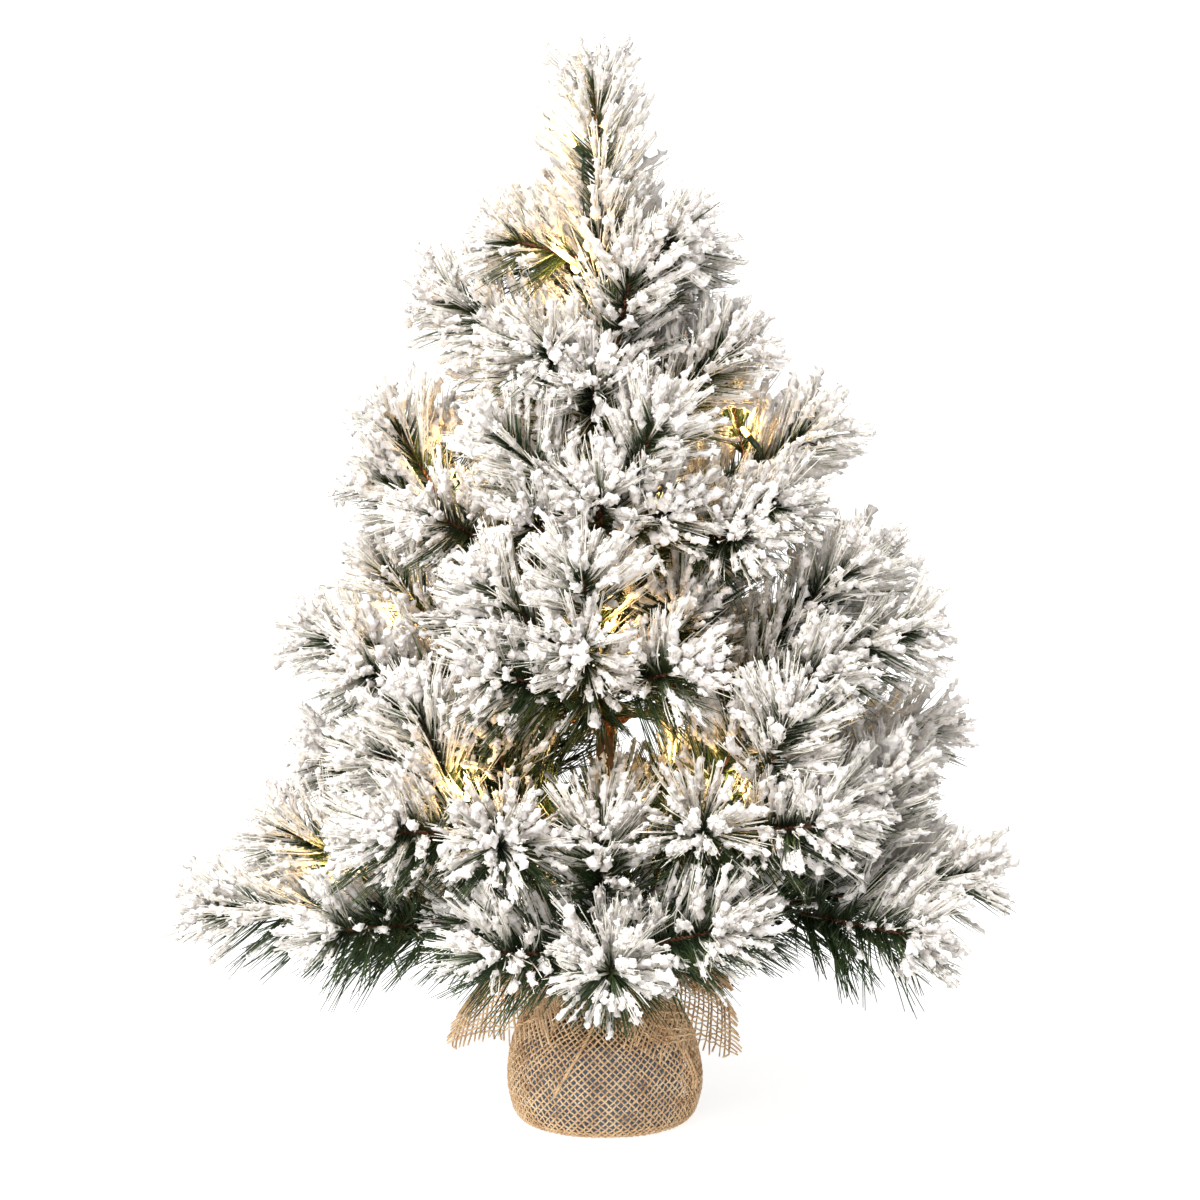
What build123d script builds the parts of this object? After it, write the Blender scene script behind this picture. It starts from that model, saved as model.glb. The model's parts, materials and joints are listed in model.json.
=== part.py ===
from build123d import *
from math import acos, cos, radians, sin, tan
import os

# Artificial tabletop tree: flocked pine on a taped trunk, weighted pot in a burlap wrap,
# lamp strings on the branches, battery case behind the wrap.
# Millimetres. Origin: centre of the underside. +Z up, +X right, -Y to the front.

# ---- driving dimensions ----------------------------------------------------------
HEIGHT = 600.0            # floor to the tip of the top needles
GAP = 0.1                 # play between pieces that are assembled and stay put

POT_FLOOR_R = 42.0        # outer radius of the plastic pot at its floor
POT_RIM_R = 45.0
POT_HEIGHT = 50.0
POT_WALL = 1.8
CLOTH = 2.0               # burlap with its folds, under the pot
BELLY_R = 54.3            # widest part of the wrap
BELLY_Z = 28.0
NECK_R = 19.0             # gathered cloth under the twine
NECK_Z = 84.0             # lowest turn of the twine
RUFF_Z = 97.0             # top of the gathered cloth
CORNER_THICK = 2.4        # cloth corners above the twine, with their folds
CORNER_CREST_Z = 94.5
CORNER_SHOULDER = 0.66    # share of a corner's reach at which it begins to hang
CORNER_SHOULDER_Z = 86.0
CORNER_HALF_WIDTH = 30.0
TWINE_R = 1.25
TWINE_TURNS = 3

TRUNK_R = 4.5
TRUNK_FOOT = 10.0
TRUNK_TOP = 360.0
LEAD_AZIMUTH = 88.0       # the lamp lead climbs the trunk behind the lower tiers
LEAD_UPPER_AZIMUTH = 38.0
TAPE = 0.5
BINDING_WALL = 1.2        # wire and tape that hold a tier of branches
WIRE_R = 1.5              # twisted wire of a branch
TWIG_WIRE_R = 1.2

HINGE_R = 11.0            # distance of a branch's bend from the trunk's axis
EYE_R = 2.2               # wire eye at the bend
EYE_LENGTH = 3.0
EYE_GAP = 0.25
PIN_R = 0.9
PIN_PLAY = 0.06
ARM_R = 0.95              # arms between the eyes and the branch wire
ARM_LENGTH = 5.2
STUB_R = 1.3              # wire between the trunk and a bend

NEEDLE_REACH = 20.0       # needles stand past the end of a wire by this much
MAIN_TUFT_R = 9.5         # packed core of a main tuft
TWIG_TUFT_R = 8.5
TUFT_START = 28.0         # needles begin this far from the bend
ROOT_R = 3.6              # a tuft's radius where it begins
SWELL = 12.0              # length over which a tuft reaches its full radius
TIP_R = 3.0
TIP_LENGTH = 11.0

LIGHT_WIRE_R = 0.8
LIGHT_WIRE_UP = 9.8      # height of the lamp wire over the branch wire
LIGHT_WIRE_SIDE = 9.4
HOLDER_R = 2.0
HOLDER_H = 10.0
HOLDER_GRIP = 1.3         # the holder's foot reaches this far past the wire's axis
LENS_R = 1.8
LENS_H = 6.0

CASE_LEFT = -40.0         # battery case, behind the wrap
CASE_RIGHT = 42.0
CASE_FRONT = 56.0
CASE_DEPTH = 20.0
CASE_REAR = CASE_FRONT + CASE_DEPTH
CASE_BOTTOM = 2.0
CASE_HEIGHT = 52.0
CASE_TOP = CASE_BOTTOM + CASE_HEIGHT
CASE_WALL = 1.6
CASE_CORNER_R = 3.0
BAY_RIGHT = 28.0          # the cells' bay ends here and the switch's bay begins
BAY_MIDDLE = (CASE_LEFT + BAY_RIGHT) / 2
CELL_R = 7.1
CELL_LENGTH = 49.2
CELL_NUB_R = 2.7
CELL_NUB = 1.2
CELL_PITCH = 15.5
CELL_COUNT = 3
CELL_Y = CASE_FRONT + CASE_WALL + CELL_R + 0.8
CELL_LOW_Z = CASE_BOTTOM + CASE_HEIGHT / 2 - CELL_PITCH
CELL_SHIFT = 0.6          # the minus end stands this far off the middle, for its spring
SPRING_R = 3.2
SPRING_STRAND = 0.35
SPRING_TURNS = 3
PLATE_HALF = 4.5          # contact plate
PLATE_THICK = 0.5
LID = 1.6
LID_Y = CASE_REAR - 3.4
LID_PLAY = 0.2
LID_RIBS = 4
GROOVE = 1.0
SWITCH_X = 36.0
SWITCH_Z = CASE_BOTTOM + CASE_HEIGHT / 2
SWITCH_TRAVEL = 4.0
KNOB_WIDTH = 4.0
KNOB_HEIGHT = 5.0
KNOB_STANDS = 1.4         # the knob stands out of the case by this much
KNOB_PLAY = 0.3
BOARD_FRONT = CASE_REAR - CASE_WALL - 7.0
BOARD_THICK = 1.2
BOARD_HALF_HEIGHT = 17.0
PAD_HALF_WIDTH = 16.0     # self-gripping pad between the case and the wrap
PAD_LOW = 16.0
PAD_HIGH = 42.0

# Branches, tier by tier: azimuth from +X, height of the root, rise, wire length, side on which
# the lamp wire runs, distances of the lamps from the bend, and the main twigs as
# (distance from the bend, angle to the side, angle upwards, wire length).
BRANCHES = {
    "low_front": (-89, 108, 7, 180, 1, (),
        ((78, -40, 4, 92), (86, 40, 12, 86), (60, -4, 44, 92))),
    "low_right": (-11, 113, 10, 194, 1, (),
        ((80, -34, -8, 108), (84, 36, 8, 88), (62, 4, 36, 96))),
    "low_rear_right": (52, 109, 8, 180, 1, (66, 138),
        ((74, -36, 6, 88), (84, 36, 8, 84), (60, 3, 38, 88))),
    "low_rear_left": (126, 111, 9, 178, 1, (),
        ((74, -36, 6, 88), (84, 36, 8, 84), (60, -3, 38, 88))),
    "low_left": (190, 109, 6, 206, 1, (48, 148),
        ((86, -36, 4, 88), (74, 38, 2, 92), (66, -6, 22, 112))),
    "mid_front_right": (-50, 159, 13, 168, -1, (40, 112),
        ((66, -36, 4, 84), (76, 34, 8, 78), (56, 0, 40, 84))),
    "mid_rear_right": (20, 166, 14, 188, 1, (46, 118),
        ((72, -34, -2, 88), (80, 34, 10, 84), (58, 0, 36, 88))),
    "mid_rear_left": (151, 162, 13, 166, 1, (),
        ((70, -34, 0, 86), (76, 34, 6, 80), (56, 0, 32, 80))),
    "mid_front_left": (231, 159, 12, 168, 1, (42, 126),
        ((66, -32, 24, 92), (74, 36, 0, 86), (52, 4, 46, 74))),
    "upper_front": (-95, 229, 27, 140, 1, (34, 106),
        ((54, -38, -6, 76), (60, 40, -4, 74), (46, 3, 30, 70))),
    "upper_right": (-12, 230, 19, 166, 1, (),
        ((58, -38, -2, 82), (66, 36, 2, 76), (50, 0, 24, 104))),
    "upper_rear": (84, 227, 22, 144, 1, (),
        ((56, -36, 0, 74), (64, 36, 2, 70), (48, 0, 30, 74))),
    "upper_left": (178, 226, 19, 152, 1, (38, 118),
        ((56, -36, 2, 74), (62, 38, -2, 76), (48, 0, 28, 96))),
    "top_front": (-92, 304, 36, 108, 1, (),
        ((42, -38, -6, 60), (50, 38, -2, 56))),
    "top_right": (-3, 310, 39, 132, -1, (40, 104),
        ((44, -42, -14, 70), (54, 36, -4, 66))),
    "top_rear": (94, 306, 35, 112, 1, (),
        ((44, -38, -4, 60), (52, 38, -2, 58))),
    "top_left": (182, 302, 29, 126, 1, (36, 98),
        ((46, -36, -2, 62), (42, 40, 2, 70))),
}

# Inner twigs leave a branch near its bend and fill the middle of the tree. Each is
# (angle to the side, angle upwards, wire length).
INNER_START = 30.0
INNER_TWIGS = {
    "low_front": ((0, 60, 84), (-60, 10, 84), (60, 10, 84)),
    "low_rear_right": ((0, 60, 84),),
    "low_rear_left": ((-60, 30, 84), (60, 10, 84)),
    "mid_rear_right": ((-60, 20, 84),),
    "mid_rear_left": ((60, 20, 84), (-60, 30, 84)),
    "mid_front_left": ((-30, 50, 84),),
    "upper_front": ((-60, 30, 84),),
    "upper_right": ((60, 40, 84), (-60, 40, 84)),
    "upper_rear": ((-30, 60, 84), (60, 0, 84), (-60, 0, 84)),
    "upper_left": ((-60, 40, 84),),
    "top_right": ((-60, -10, 84),),
    "top_rear": ((60, 40, 60),),
    "top_left": ((-60, -10, 84),),
}

# Outer twigs leave at this share of the branch's wire, in the same form.
OUTER_SHARE = 0.66
OUTER_TWIGS = {
    "low_right": ((-30, 60, 72),),
    "mid_front_right": ((0, 50, 72),),
    "mid_front_left": ((-30, 60, 72), (-54, -10, 50)),
    "upper_front": ((-54, 30, 72), (0, 30, 72)),
    "upper_right": ((54, 30, 72),),
    "top_front": ((-54, 30, 72), (30, 30, 72)),
    "top_right": ((30, 60, 72),),
    "top_rear": ((30, 50, 72), (-54, 30, 72)),
    "top_left": ((0, 30, 60), (-54, 30, 50)),
}

# Twigs of the leader: azimuth, rise, height on the leader, wire length.
LEADER_TWIGS = (
    (-96, 40, 368, 90), (186, 26, 424, 92), (-22, 42, 374, 96), (4, 48, 438, 62),
    (62, 42, 376, 86), (206, 46, 384, 80), (112, 50, 420, 66), (148, 40, 370, 80),
    (-72, 60, 400, 92), (144, 45, 460, 60), (-114, 12, 426, 72),
    (54, 15, 485, 50), (-36, 15, 485, 50), (-162, 15, 485, 50),
)
LEADER_WIRE_R = 2.0
LEADER_LEAN = -5.0        # the leader's tip stands this far to the left
LEADER_TUFT_START = 380.0
LEADER_LAMPS = (476.0, 545.0)
LEADER_LIGHT_R = 12.5
LEADER_LIGHT_AZIMUTH = 232.0

# Corners of the burlap square above the twine: azimuth, reach from the axis, height of the tip.
CLOTH_CORNERS = ((-40, 93, 62), (205, 94, 60), (142, 86, 64), (38, 86, 64))

TIERS = ("low", "mid", "upper", "top")
LEADER_ROOT = Vector(0, 0, TRUNK_TOP)
LEADER_END = Vector(LEADER_LEAN, 0, HEIGHT - NEEDLE_REACH)


UPRIGHT = (Align.CENTER, Align.CENTER, Align.MIN)


# ---- helpers ---------------------------------------------------------------------
def polar(radius, azimuth, height):
    """A point at a radius and azimuth round the trunk."""
    return Vector(radius * cos(radians(azimuth)), radius * sin(radians(azimuth)), height)


def rod(start, end, radius):
    """A round bar from start to end."""
    run = end - start
    return Plane(origin=start, z_dir=run) * Cylinder(radius, run.length, align=UPRIGHT)


def ring(inner, outer, low, high):
    """An upright tube round the Z axis."""
    tube = Cylinder(outer, high - low, align=UPRIGHT) - Cylinder(inner, high - low, align=UPRIGHT)
    return Pos(0, 0, low) * tube


def block(low, high):
    """A box between two corners."""
    size = [b - a for a, b in zip(low, high)]
    middle = [(a + b) / 2 for a, b in zip(low, high)]
    return Pos(*middle) * Box(*size)


def save(name, *solids):
    """Writes the solids of one node to its STEP file."""
    flat = [solid for item in solids for solid in item.solids()]
    shape = flat[0] if len(flat) == 1 else Compound(children=flat)
    shape.label = name
    export_step(shape, f"parts/{name}.step")


def wire_tube(points, radius, bend_share=0.45):
    """A round wire along straight runs joined by arcs as large as the runs allow."""
    points = [Vector(*p) for p in points]
    radii = []
    for before, here, after in zip(points, points[1:], points[2:]):
        turn = radians((here - before).get_angle(after - here))
        radii.append(bend_share * min((here - before).length, (after - here).length) / tan(turn / 2))
    path = FilletPolyline(*points, radius=radii) if radii else Line(*points)
    first = path @ 0
    return sweep(Plane(origin=first, z_dir=path % 0) * Circle(radius), path=path)


def tuft(start, direction, begin, wire_end, bore, radius):
    """The packed core of the needles round a straight wire that starts at start and ends
    wire_end along direction. It is a sleeve that closes past the end of the wire."""
    total = wire_end + NEEDLE_REACH
    outline = Polyline(
        (bore, begin), (ROOT_R, begin), (radius, begin + SWELL), (radius, total - TIP_LENGTH),
        (TIP_R, total), (0, total), (0, wire_end + GAP), (bore, wire_end + GAP), close=True,
    )
    body = revolve(Plane.XZ * make_face(outline), Axis.Z)
    return Plane(origin=start, z_dir=direction) * body


def twig_begin(angle, main_radius):
    """Distance along a twig at which its needles clear the tuft that it grows out of."""
    return (main_radius + 0.6 + ROOT_R * cos(angle)) / sin(angle)


# ---- branches --------------------------------------------------------------------
class Branch:
    """One branch: its own directions, wire, needles and lamps."""

    def __init__(self, name):
        azimuth, height, rise, length, side, lamps, twigs = BRANCHES[name]
        a, r = radians(azimuth), radians(rise)
        self.azimuth, self.length, self.side, self.lamps = azimuth, length, side, lamps
        self.root = polar(HINGE_R, azimuth, height)
        self.out = Vector(cos(a), sin(a), 0)
        self.pin = Vector(sin(a), -cos(a), 0)
        self.along = Vector(cos(a) * cos(r), sin(a) * cos(r), sin(r))
        self.up = Vector(-cos(a) * sin(r), -sin(a) * sin(r), cos(r))
        outer_start = 2 * round(OUTER_SHARE * length / 2)
        twigs += tuple((INNER_START, *twig) for twig in INNER_TWIGS.get(name, ()))
        twigs += tuple((outer_start, *twig) for twig in OUTER_TWIGS.get(name, ()))
        self.twigs = [self.twig(*twig) for twig in twigs]

    def at(self, distance, across=0.0, above=0.0):
        """A point on the branch, by its distance from the bend."""
        return self.root + self.along * distance - self.pin * across + self.up * above

    def twig(self, distance, side, lift, length):
        """Start, direction and length of a twig's wire, and its angle to the branch."""
        flat = self.along * cos(radians(side)) - self.pin * sin(radians(side))
        direction = flat * cos(radians(lift)) + self.up * sin(radians(lift))
        return self.at(distance), direction, length, acos(direction.dot(self.along))

    def stem(self):
        """Twisted wires of the branch and its twigs, with the eyes that turn on the pin."""
        wire = rod(self.at(ARM_LENGTH), self.at(self.length), WIRE_R)
        for start, direction, length, _ in self.twigs:
            wire += rod(start, start + direction * length, TWIG_WIRE_R)
        inner = EYE_LENGTH / 2 + EYE_GAP
        outer = inner + EYE_LENGTH * 0.8
        wire += rod(self.at(ARM_LENGTH, -outer), self.at(ARM_LENGTH, outer), STUB_R)
        for sign in (-1, 1):
            eye = rod(self.root - self.pin * (sign * inner), self.root - self.pin * (sign * outer), EYE_R)
            middle = sign * (inner + outer) / 2
            arm = rod(self.at(EYE_R / 2, middle), self.at(ARM_LENGTH, middle), ARM_R)
            wire += eye + arm
        wire -= rod(self.at(0, -outer - 1), self.at(0, outer + 1), PIN_R + PIN_PLAY)
        return wire

    def needles(self):
        """Tufts round the branch wire and round each twig."""
        main = tuft(self.root, self.along, TUFT_START, self.length, WIRE_R + GAP, MAIN_TUFT_R)
        side_tufts = []
        for start, direction, length, angle in self.twigs:
            main -= rod(start, start + direction * (MAIN_TUFT_R * 3), TWIG_WIRE_R + GAP)
            begin = twig_begin(angle, MAIN_TUFT_R)
            side_tufts.append(tuft(start, direction, begin, length, TWIG_WIRE_R + GAP, TWIG_TUFT_R))
        return [main] + side_tufts

    def lights(self):
        """Lamp wire over the branch, with a holder and a lens at each lamp."""
        run = LIGHT_WIRE_SIDE * self.side
        route = [
            self.at(9, 0, 6.4), self.at(22, run, LIGHT_WIRE_UP), self.at(self.lamps[-1], run, LIGHT_WIRE_UP),
        ]
        cord = wire_tube(route, LIGHT_WIRE_R)
        lenses = []
        for distance in self.lamps:
            foot = self.at(distance, run, LIGHT_WIRE_UP)
            rim = foot + self.up * HOLDER_H
            cord += rod(foot - self.up * HOLDER_GRIP, rim, HOLDER_R)
            lenses.append(lens(rim, self.up))
        return [cord] + lenses


def lens(base, direction):
    """Lamp lens: a short rod with a rounded end."""
    dome = Cylinder(LENS_R, LENS_H, align=UPRIGHT)
    dome = fillet(dome.edges().sort_by(Axis.Z)[-1:], LENS_R * 0.8)
    return Plane(origin=base, z_dir=direction) * dome


def tier_binding(branches):
    """Wire and tape bound round the trunk at one tier, with the stubs and pins of its branches."""
    heights = [b.root.Z for b in branches]
    inner = TRUNK_R + TAPE + GAP
    outer = inner + BINDING_WALL
    body = ring(inner, outer, min(heights) - 5, max(heights) + 5)
    half = EYE_LENGTH / 2
    for branch in branches:
        body += rod(branch.root - branch.out * (HINGE_R - inner - BINDING_WALL / 2), branch.root, STUB_R)
        body += rod(branch.root - branch.pin * half, branch.root + branch.pin * half, EYE_R)
        reach = half + EYE_GAP + EYE_LENGTH * 0.8 + 0.3
        body += rod(branch.root - branch.pin * reach, branch.root + branch.pin * reach, PIN_R)
    return body


# ---- leader ----------------------------------------------------------------------
def leader_point(height):
    """The leader's axis at a height."""
    share = (height - LEADER_ROOT.Z) / (LEADER_END.Z - LEADER_ROOT.Z)
    return LEADER_ROOT + (LEADER_END - LEADER_ROOT) * share


def leader_twigs():
    """Start, direction and length of each twig of the leader, and its angle to the leader."""
    rising = (LEADER_END - LEADER_ROOT).normalized()
    for azimuth, rise, height, length in LEADER_TWIGS:
        direction = polar(cos(radians(rise)), azimuth, sin(radians(rise)))
        yield leader_point(height), direction, length, acos(direction.dot(rising))


def leader_stem():
    """Wire above the trunk, with its twigs."""
    wire = rod(LEADER_ROOT + Vector(0, 0, GAP), LEADER_END, LEADER_WIRE_R)
    for start, direction, length, _ in leader_twigs():
        wire += rod(start, start + direction * length, TWIG_WIRE_R)
    return wire


def leader_needles():
    """Tufts round the leader and its twigs."""
    run = LEADER_END - LEADER_ROOT
    begin = LEADER_TUFT_START - TRUNK_TOP
    main = tuft(LEADER_ROOT, run, begin, run.length, LEADER_WIRE_R + GAP, MAIN_TUFT_R)
    tufts = []
    for start, direction, length, angle in leader_twigs():
        main -= rod(start, start + direction * (MAIN_TUFT_R * 3), TWIG_WIRE_R + GAP)
        begin = twig_begin(angle, MAIN_TUFT_R)
        tufts.append(tuft(start, direction, begin, length, TWIG_WIRE_R + GAP, TWIG_TUFT_R))
    return [main] + tufts


def leader_lights():
    """Lamp wire beside the leader and its lamps."""
    aside = polar(LEADER_LIGHT_R, LEADER_LIGHT_AZIMUTH, 0)
    outward = polar(cos(radians(35)), LEADER_LIGHT_AZIMUTH, sin(radians(35)))
    low = leader_point(LEADER_LAMPS[0] - 26) + aside
    high = leader_point(LEADER_LAMPS[-1]) + aside
    cord = rod(low, high, LIGHT_WIRE_R)
    lenses = []
    for height in LEADER_LAMPS:
        foot = leader_point(height) + aside
        rim = foot + outward * HOLDER_H
        cord += rod(foot - outward * HOLDER_GRIP, rim, HOLDER_R)
        lenses.append(lens(rim, outward))
    return [cord] + lenses


# ---- base ------------------------------------------------------------------------
def plastic_pot():
    """Tapered cup that holds the cement."""
    floor = CLOTH + GAP
    top = floor + POT_HEIGHT
    outline = Polyline(
        (0, floor), (POT_FLOOR_R, floor), (POT_RIM_R, top), (POT_RIM_R - POT_WALL, top),
        (POT_FLOOR_R - POT_WALL, floor + POT_WALL), (0, floor + POT_WALL), close=True,
    )
    return revolve(Plane.XZ * make_face(outline), Axis.Z)


def cement_weight():
    """Cement cast in the pot round the foot of the trunk."""
    low = CLOTH + POT_WALL + 2 * GAP
    high = CLOTH + POT_HEIGHT - 6
    slope = (POT_RIM_R - POT_FLOOR_R) / POT_HEIGHT
    inner = POT_FLOOR_R - POT_WALL - 2 * GAP
    outline = Polyline((0, low), (inner, low), (inner + slope * (high - low), high), (0, high), close=True)
    cast = revolve(Plane.XZ * make_face(outline), Axis.Z)
    return cast - Pos(0, 0, TRUNK_FOOT) * Cylinder(TRUNK_R, high, align=UPRIGHT)


def sack_outline():
    """Outer outline of the wrap, from the floor to the gathered neck and the ruff above it."""
    foot = (POT_FLOOR_R + 3.5, 0)
    under_neck = (NECK_R + 4, NECK_Z - 3.5)
    belly_points = [(BELLY_R - 2.8, 9), (BELLY_R, BELLY_Z), (BELLY_R - 2.8, 50), (NECK_R + 20, 70)]
    belly = Spline(foot, *belly_points, under_neck)
    neck = Polyline(
        under_neck, (NECK_R, NECK_Z - 1.6), (NECK_R, RUFF_Z - 5), (NECK_R + 3, RUFF_Z - 3),
        (NECK_R + 1, RUFF_Z), (0, RUFF_Z), (0, 0), foot,
    )
    return make_face(Wire([belly, *neck.edges()]))


def sack_cavity():
    """Room inside the wrap for the pot, and the hole that the trunk passes through."""
    floor = CLOTH
    top = floor + POT_HEIGHT + 3
    outline = Polyline(
        (0, floor), (POT_FLOOR_R + 0.4, floor), (POT_RIM_R + 0.6, top), (28, top + 12),
        (TRUNK_R + TAPE + 0.6, top + 20), (TRUNK_R + TAPE + 0.6, 110), (0, 110), close=True,
    )
    return revolve(Plane.XZ * make_face(outline), Axis.Z)


def cloth_corner(azimuth, reach, tip_height):
    """One corner of the burlap square, which spreads above the twine and hangs over."""
    crest_points = [
        (NECK_R - 5, CORNER_CREST_Z - 1), (NECK_R + 15, CORNER_CREST_Z),
        (reach * CORNER_SHOULDER, CORNER_SHOULDER_Z), (reach, tip_height),
    ]
    crest = Spline(*crest_points)
    under = Spline(*[(x, z - CORNER_THICK) for x, z in reversed(crest_points)])
    section = make_face(Wire([crest, Line(crest @ 1, under @ 0), under, Line(under @ 1, crest @ 0)]))
    sheet = extrude(Plane.XZ * section, amount=CORNER_HALF_WIDTH + 5, both=True)
    half_plan = [
        (NECK_R - 6, 7), (NECK_R + 17, CORNER_HALF_WIDTH - 5),
        (reach * CORNER_SHOULDER, CORNER_HALF_WIDTH), (reach, 4),
    ]
    mirrored = [(x, -y) for x, y in reversed(half_plan)]
    sheet &= extrude(make_face(Polyline(*half_plan, *mirrored, close=True)), amount=RUFF_Z + 20)
    return Rot(0, 0, azimuth) * sheet


def burlap_wrap():
    """Burlap square gathered round the pot and tied, with its corners spread above the tie."""
    outer = revolve(Plane.XZ * sack_outline(), Axis.Z)
    for corner in CLOTH_CORNERS:
        outer += cloth_corner(*corner)
    return outer - sack_cavity()


def neck_twine():
    """Turns of jute twine round the neck."""
    turns = []
    for index in range(TWINE_TURNS):
        height = NECK_Z + index * (2 * TWINE_R + GAP)
        turns.append(Pos(0, 0, height) * Torus(NECK_R + TWINE_R + GAP, TWINE_R))
    return turns


# ---- battery case ----------------------------------------------------------------
def battery_case():
    """Open-backed case with a bay for the cells, a bay for the switch and grooves for the cover."""
    body = block((CASE_LEFT, CASE_FRONT, CASE_BOTTOM), (CASE_RIGHT, CASE_REAR, CASE_TOP))
    body = fillet(body.edges().filter_by(Axis.Y), CASE_CORNER_R)
    wall = CASE_WALL
    low, high = CASE_BOTTOM + wall, CASE_TOP - wall
    bay_low, bay_high = low + GROOVE, high - GROOVE
    cover_front = LID_Y - LID_PLAY
    beyond_left, beyond_rear = CASE_LEFT - 1, CASE_REAR + 1
    body -= block((CASE_LEFT + wall, CASE_FRONT + wall, bay_low), (BAY_RIGHT, beyond_rear, bay_high))
    body -= block((beyond_left, cover_front, low), (BAY_RIGHT, LID_Y + LID + LID_PLAY, high))
    body -= block((beyond_left, cover_front, bay_low), (BAY_RIGHT, beyond_rear, bay_high))
    switch_bay_end = (CASE_RIGHT - wall, CASE_REAR - wall, bay_high)
    body -= block((BAY_RIGHT + wall, CASE_FRONT + wall, bay_low), switch_bay_end)
    slot_half = KNOB_WIDTH / 2 + KNOB_PLAY
    slot_low = SWITCH_Z - KNOB_HEIGHT / 2 - KNOB_PLAY
    slot_high = SWITCH_Z + KNOB_HEIGHT / 2 + SWITCH_TRAVEL + KNOB_PLAY
    slot_end = (SWITCH_X + slot_half, beyond_rear, slot_high)
    body -= block((SWITCH_X - slot_half, CASE_REAR - wall - 1, slot_low), slot_end)
    return body


def battery_cover():
    """Sliding cover with grip ribs."""
    low, high = CASE_BOTTOM + CASE_WALL + LID_PLAY, CASE_TOP - CASE_WALL - LID_PLAY
    plate = block((CASE_LEFT, LID_Y, low), (BAY_RIGHT - LID_PLAY, LID_Y + LID, high))
    for step in range(LID_RIBS):
        left = CASE_LEFT + 6 + step * 3.0
        plate += block((left, LID_Y + LID, SWITCH_Z - 9), (left + 1.2, LID_Y + LID + 1.0, SWITCH_Z + 9))
    return plate


def cell_turns():
    """Which way each cell points along X, and its height: they alternate, in series."""
    for index in range(CELL_COUNT):
        yield (1 if index % 2 == 0 else -1), CELL_LOW_Z + index * CELL_PITCH


def battery_cells():
    """Three AA cells, turned end for end in series."""
    cells = []
    for turn, height in cell_turns():
        minus_end = Vector(BAY_MIDDLE - turn * (CELL_LENGTH / 2 + CELL_SHIFT), CELL_Y, height)
        shoulder = minus_end + Vector(turn * CELL_LENGTH, 0, 0)
        nub = shoulder + Vector(turn * CELL_NUB, 0, 0)
        cells.append(rod(minus_end, shoulder, CELL_R) + rod(shoulder, nub, CELL_NUB_R))
    return cells


def battery_contacts():
    """A plate at the plus end and a coiled spring at the minus end of each cell."""
    pieces = []
    for turn, height in cell_turns():
        walls = (CASE_LEFT + CASE_WALL, BAY_RIGHT)
        minus_wall, plus_wall = walls if turn > 0 else reversed(walls)
        minus_end = BAY_MIDDLE - turn * (CELL_LENGTH / 2 + CELL_SHIFT)
        coil_height = abs(minus_end - minus_wall) - 3 * SPRING_STRAND
        coil = Helix(pitch=coil_height / SPRING_TURNS, height=coil_height, radius=SPRING_R)
        section = Plane(origin=coil @ 0, z_dir=coil % 0) * Circle(SPRING_STRAND)
        start = Vector(minus_wall + turn * (1.5 * SPRING_STRAND), CELL_Y, height)
        pieces.append(Plane(origin=start, z_dir=(turn, 0, 0)) * sweep(section, path=coil, is_frenet=True))
        low_x, high_x = sorted((plus_wall - turn * GAP, plus_wall - turn * (GAP + PLATE_THICK)))
        low = (low_x, CELL_Y - PLATE_HALF, height - PLATE_HALF)
        pieces.append(block(low, (high_x, CELL_Y + PLATE_HALF, height + PLATE_HALF)))
    return pieces


def circuit_board():
    """Small board with the slide switch's body, behind the knob, and one chip."""
    rear = BOARD_FRONT + BOARD_THICK
    left, right = BAY_RIGHT + CASE_WALL + 0.6, CASE_RIGHT - CASE_WALL - 0.6
    low, high = SWITCH_Z - BOARD_HALF_HEIGHT, SWITCH_Z + BOARD_HALF_HEIGHT
    board = block((left, BOARD_FRONT, low), (right, rear, high))
    board += block((SWITCH_X - 3.4, rear, SWITCH_Z - 4.5), (SWITCH_X + 3.4, rear + 2.8, SWITCH_Z + 8.5))
    chip_low = (SWITCH_X - 2.5, BOARD_FRONT - 2.0, SWITCH_Z - 14)
    board += block(chip_low, (SWITCH_X + 2.5, BOARD_FRONT, SWITCH_Z - 8))
    return board


def switch_knob():
    """Knob that slides in the slot of the case."""
    front = CASE_REAR - CASE_WALL - 2.6
    low = (SWITCH_X - KNOB_WIDTH / 2, front, SWITCH_Z - KNOB_HEIGHT / 2)
    return block(low, (SWITCH_X + KNOB_WIDTH / 2, CASE_REAR + KNOB_STANDS, SWITCH_Z + KNOB_HEIGHT / 2))


def case_pad():
    """Self-gripping pad between the case and the wrap."""
    pad = block((-PAD_HALF_WIDTH, CASE_FRONT - 10, PAD_LOW), (PAD_HALF_WIDTH, CASE_FRONT, PAD_HIGH))
    return pad - revolve(Plane.XZ * sack_outline(), Axis.Z)


def light_wire():
    """Lead from the case over the neck to the trunk, and up the trunk to the leader."""
    beside = TRUNK_R + TAPE + GAP + BINDING_WALL + LIGHT_WIRE_R + 0.15
    route = [
        (4, CASE_FRONT + 10, CASE_TOP), (4, CASE_FRONT + 10, CASE_TOP + 17), (3, 49, 91), (2, 29, 103),
        tuple(polar(beside, LEAD_AZIMUTH, 116)), tuple(polar(beside, LEAD_AZIMUTH, 196)),
        tuple(polar(beside, LEAD_UPPER_AZIMUTH, 212)), tuple(polar(beside, LEAD_UPPER_AZIMUTH, 352)),
    ]
    return wire_tube(route, LIGHT_WIRE_R)


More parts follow.
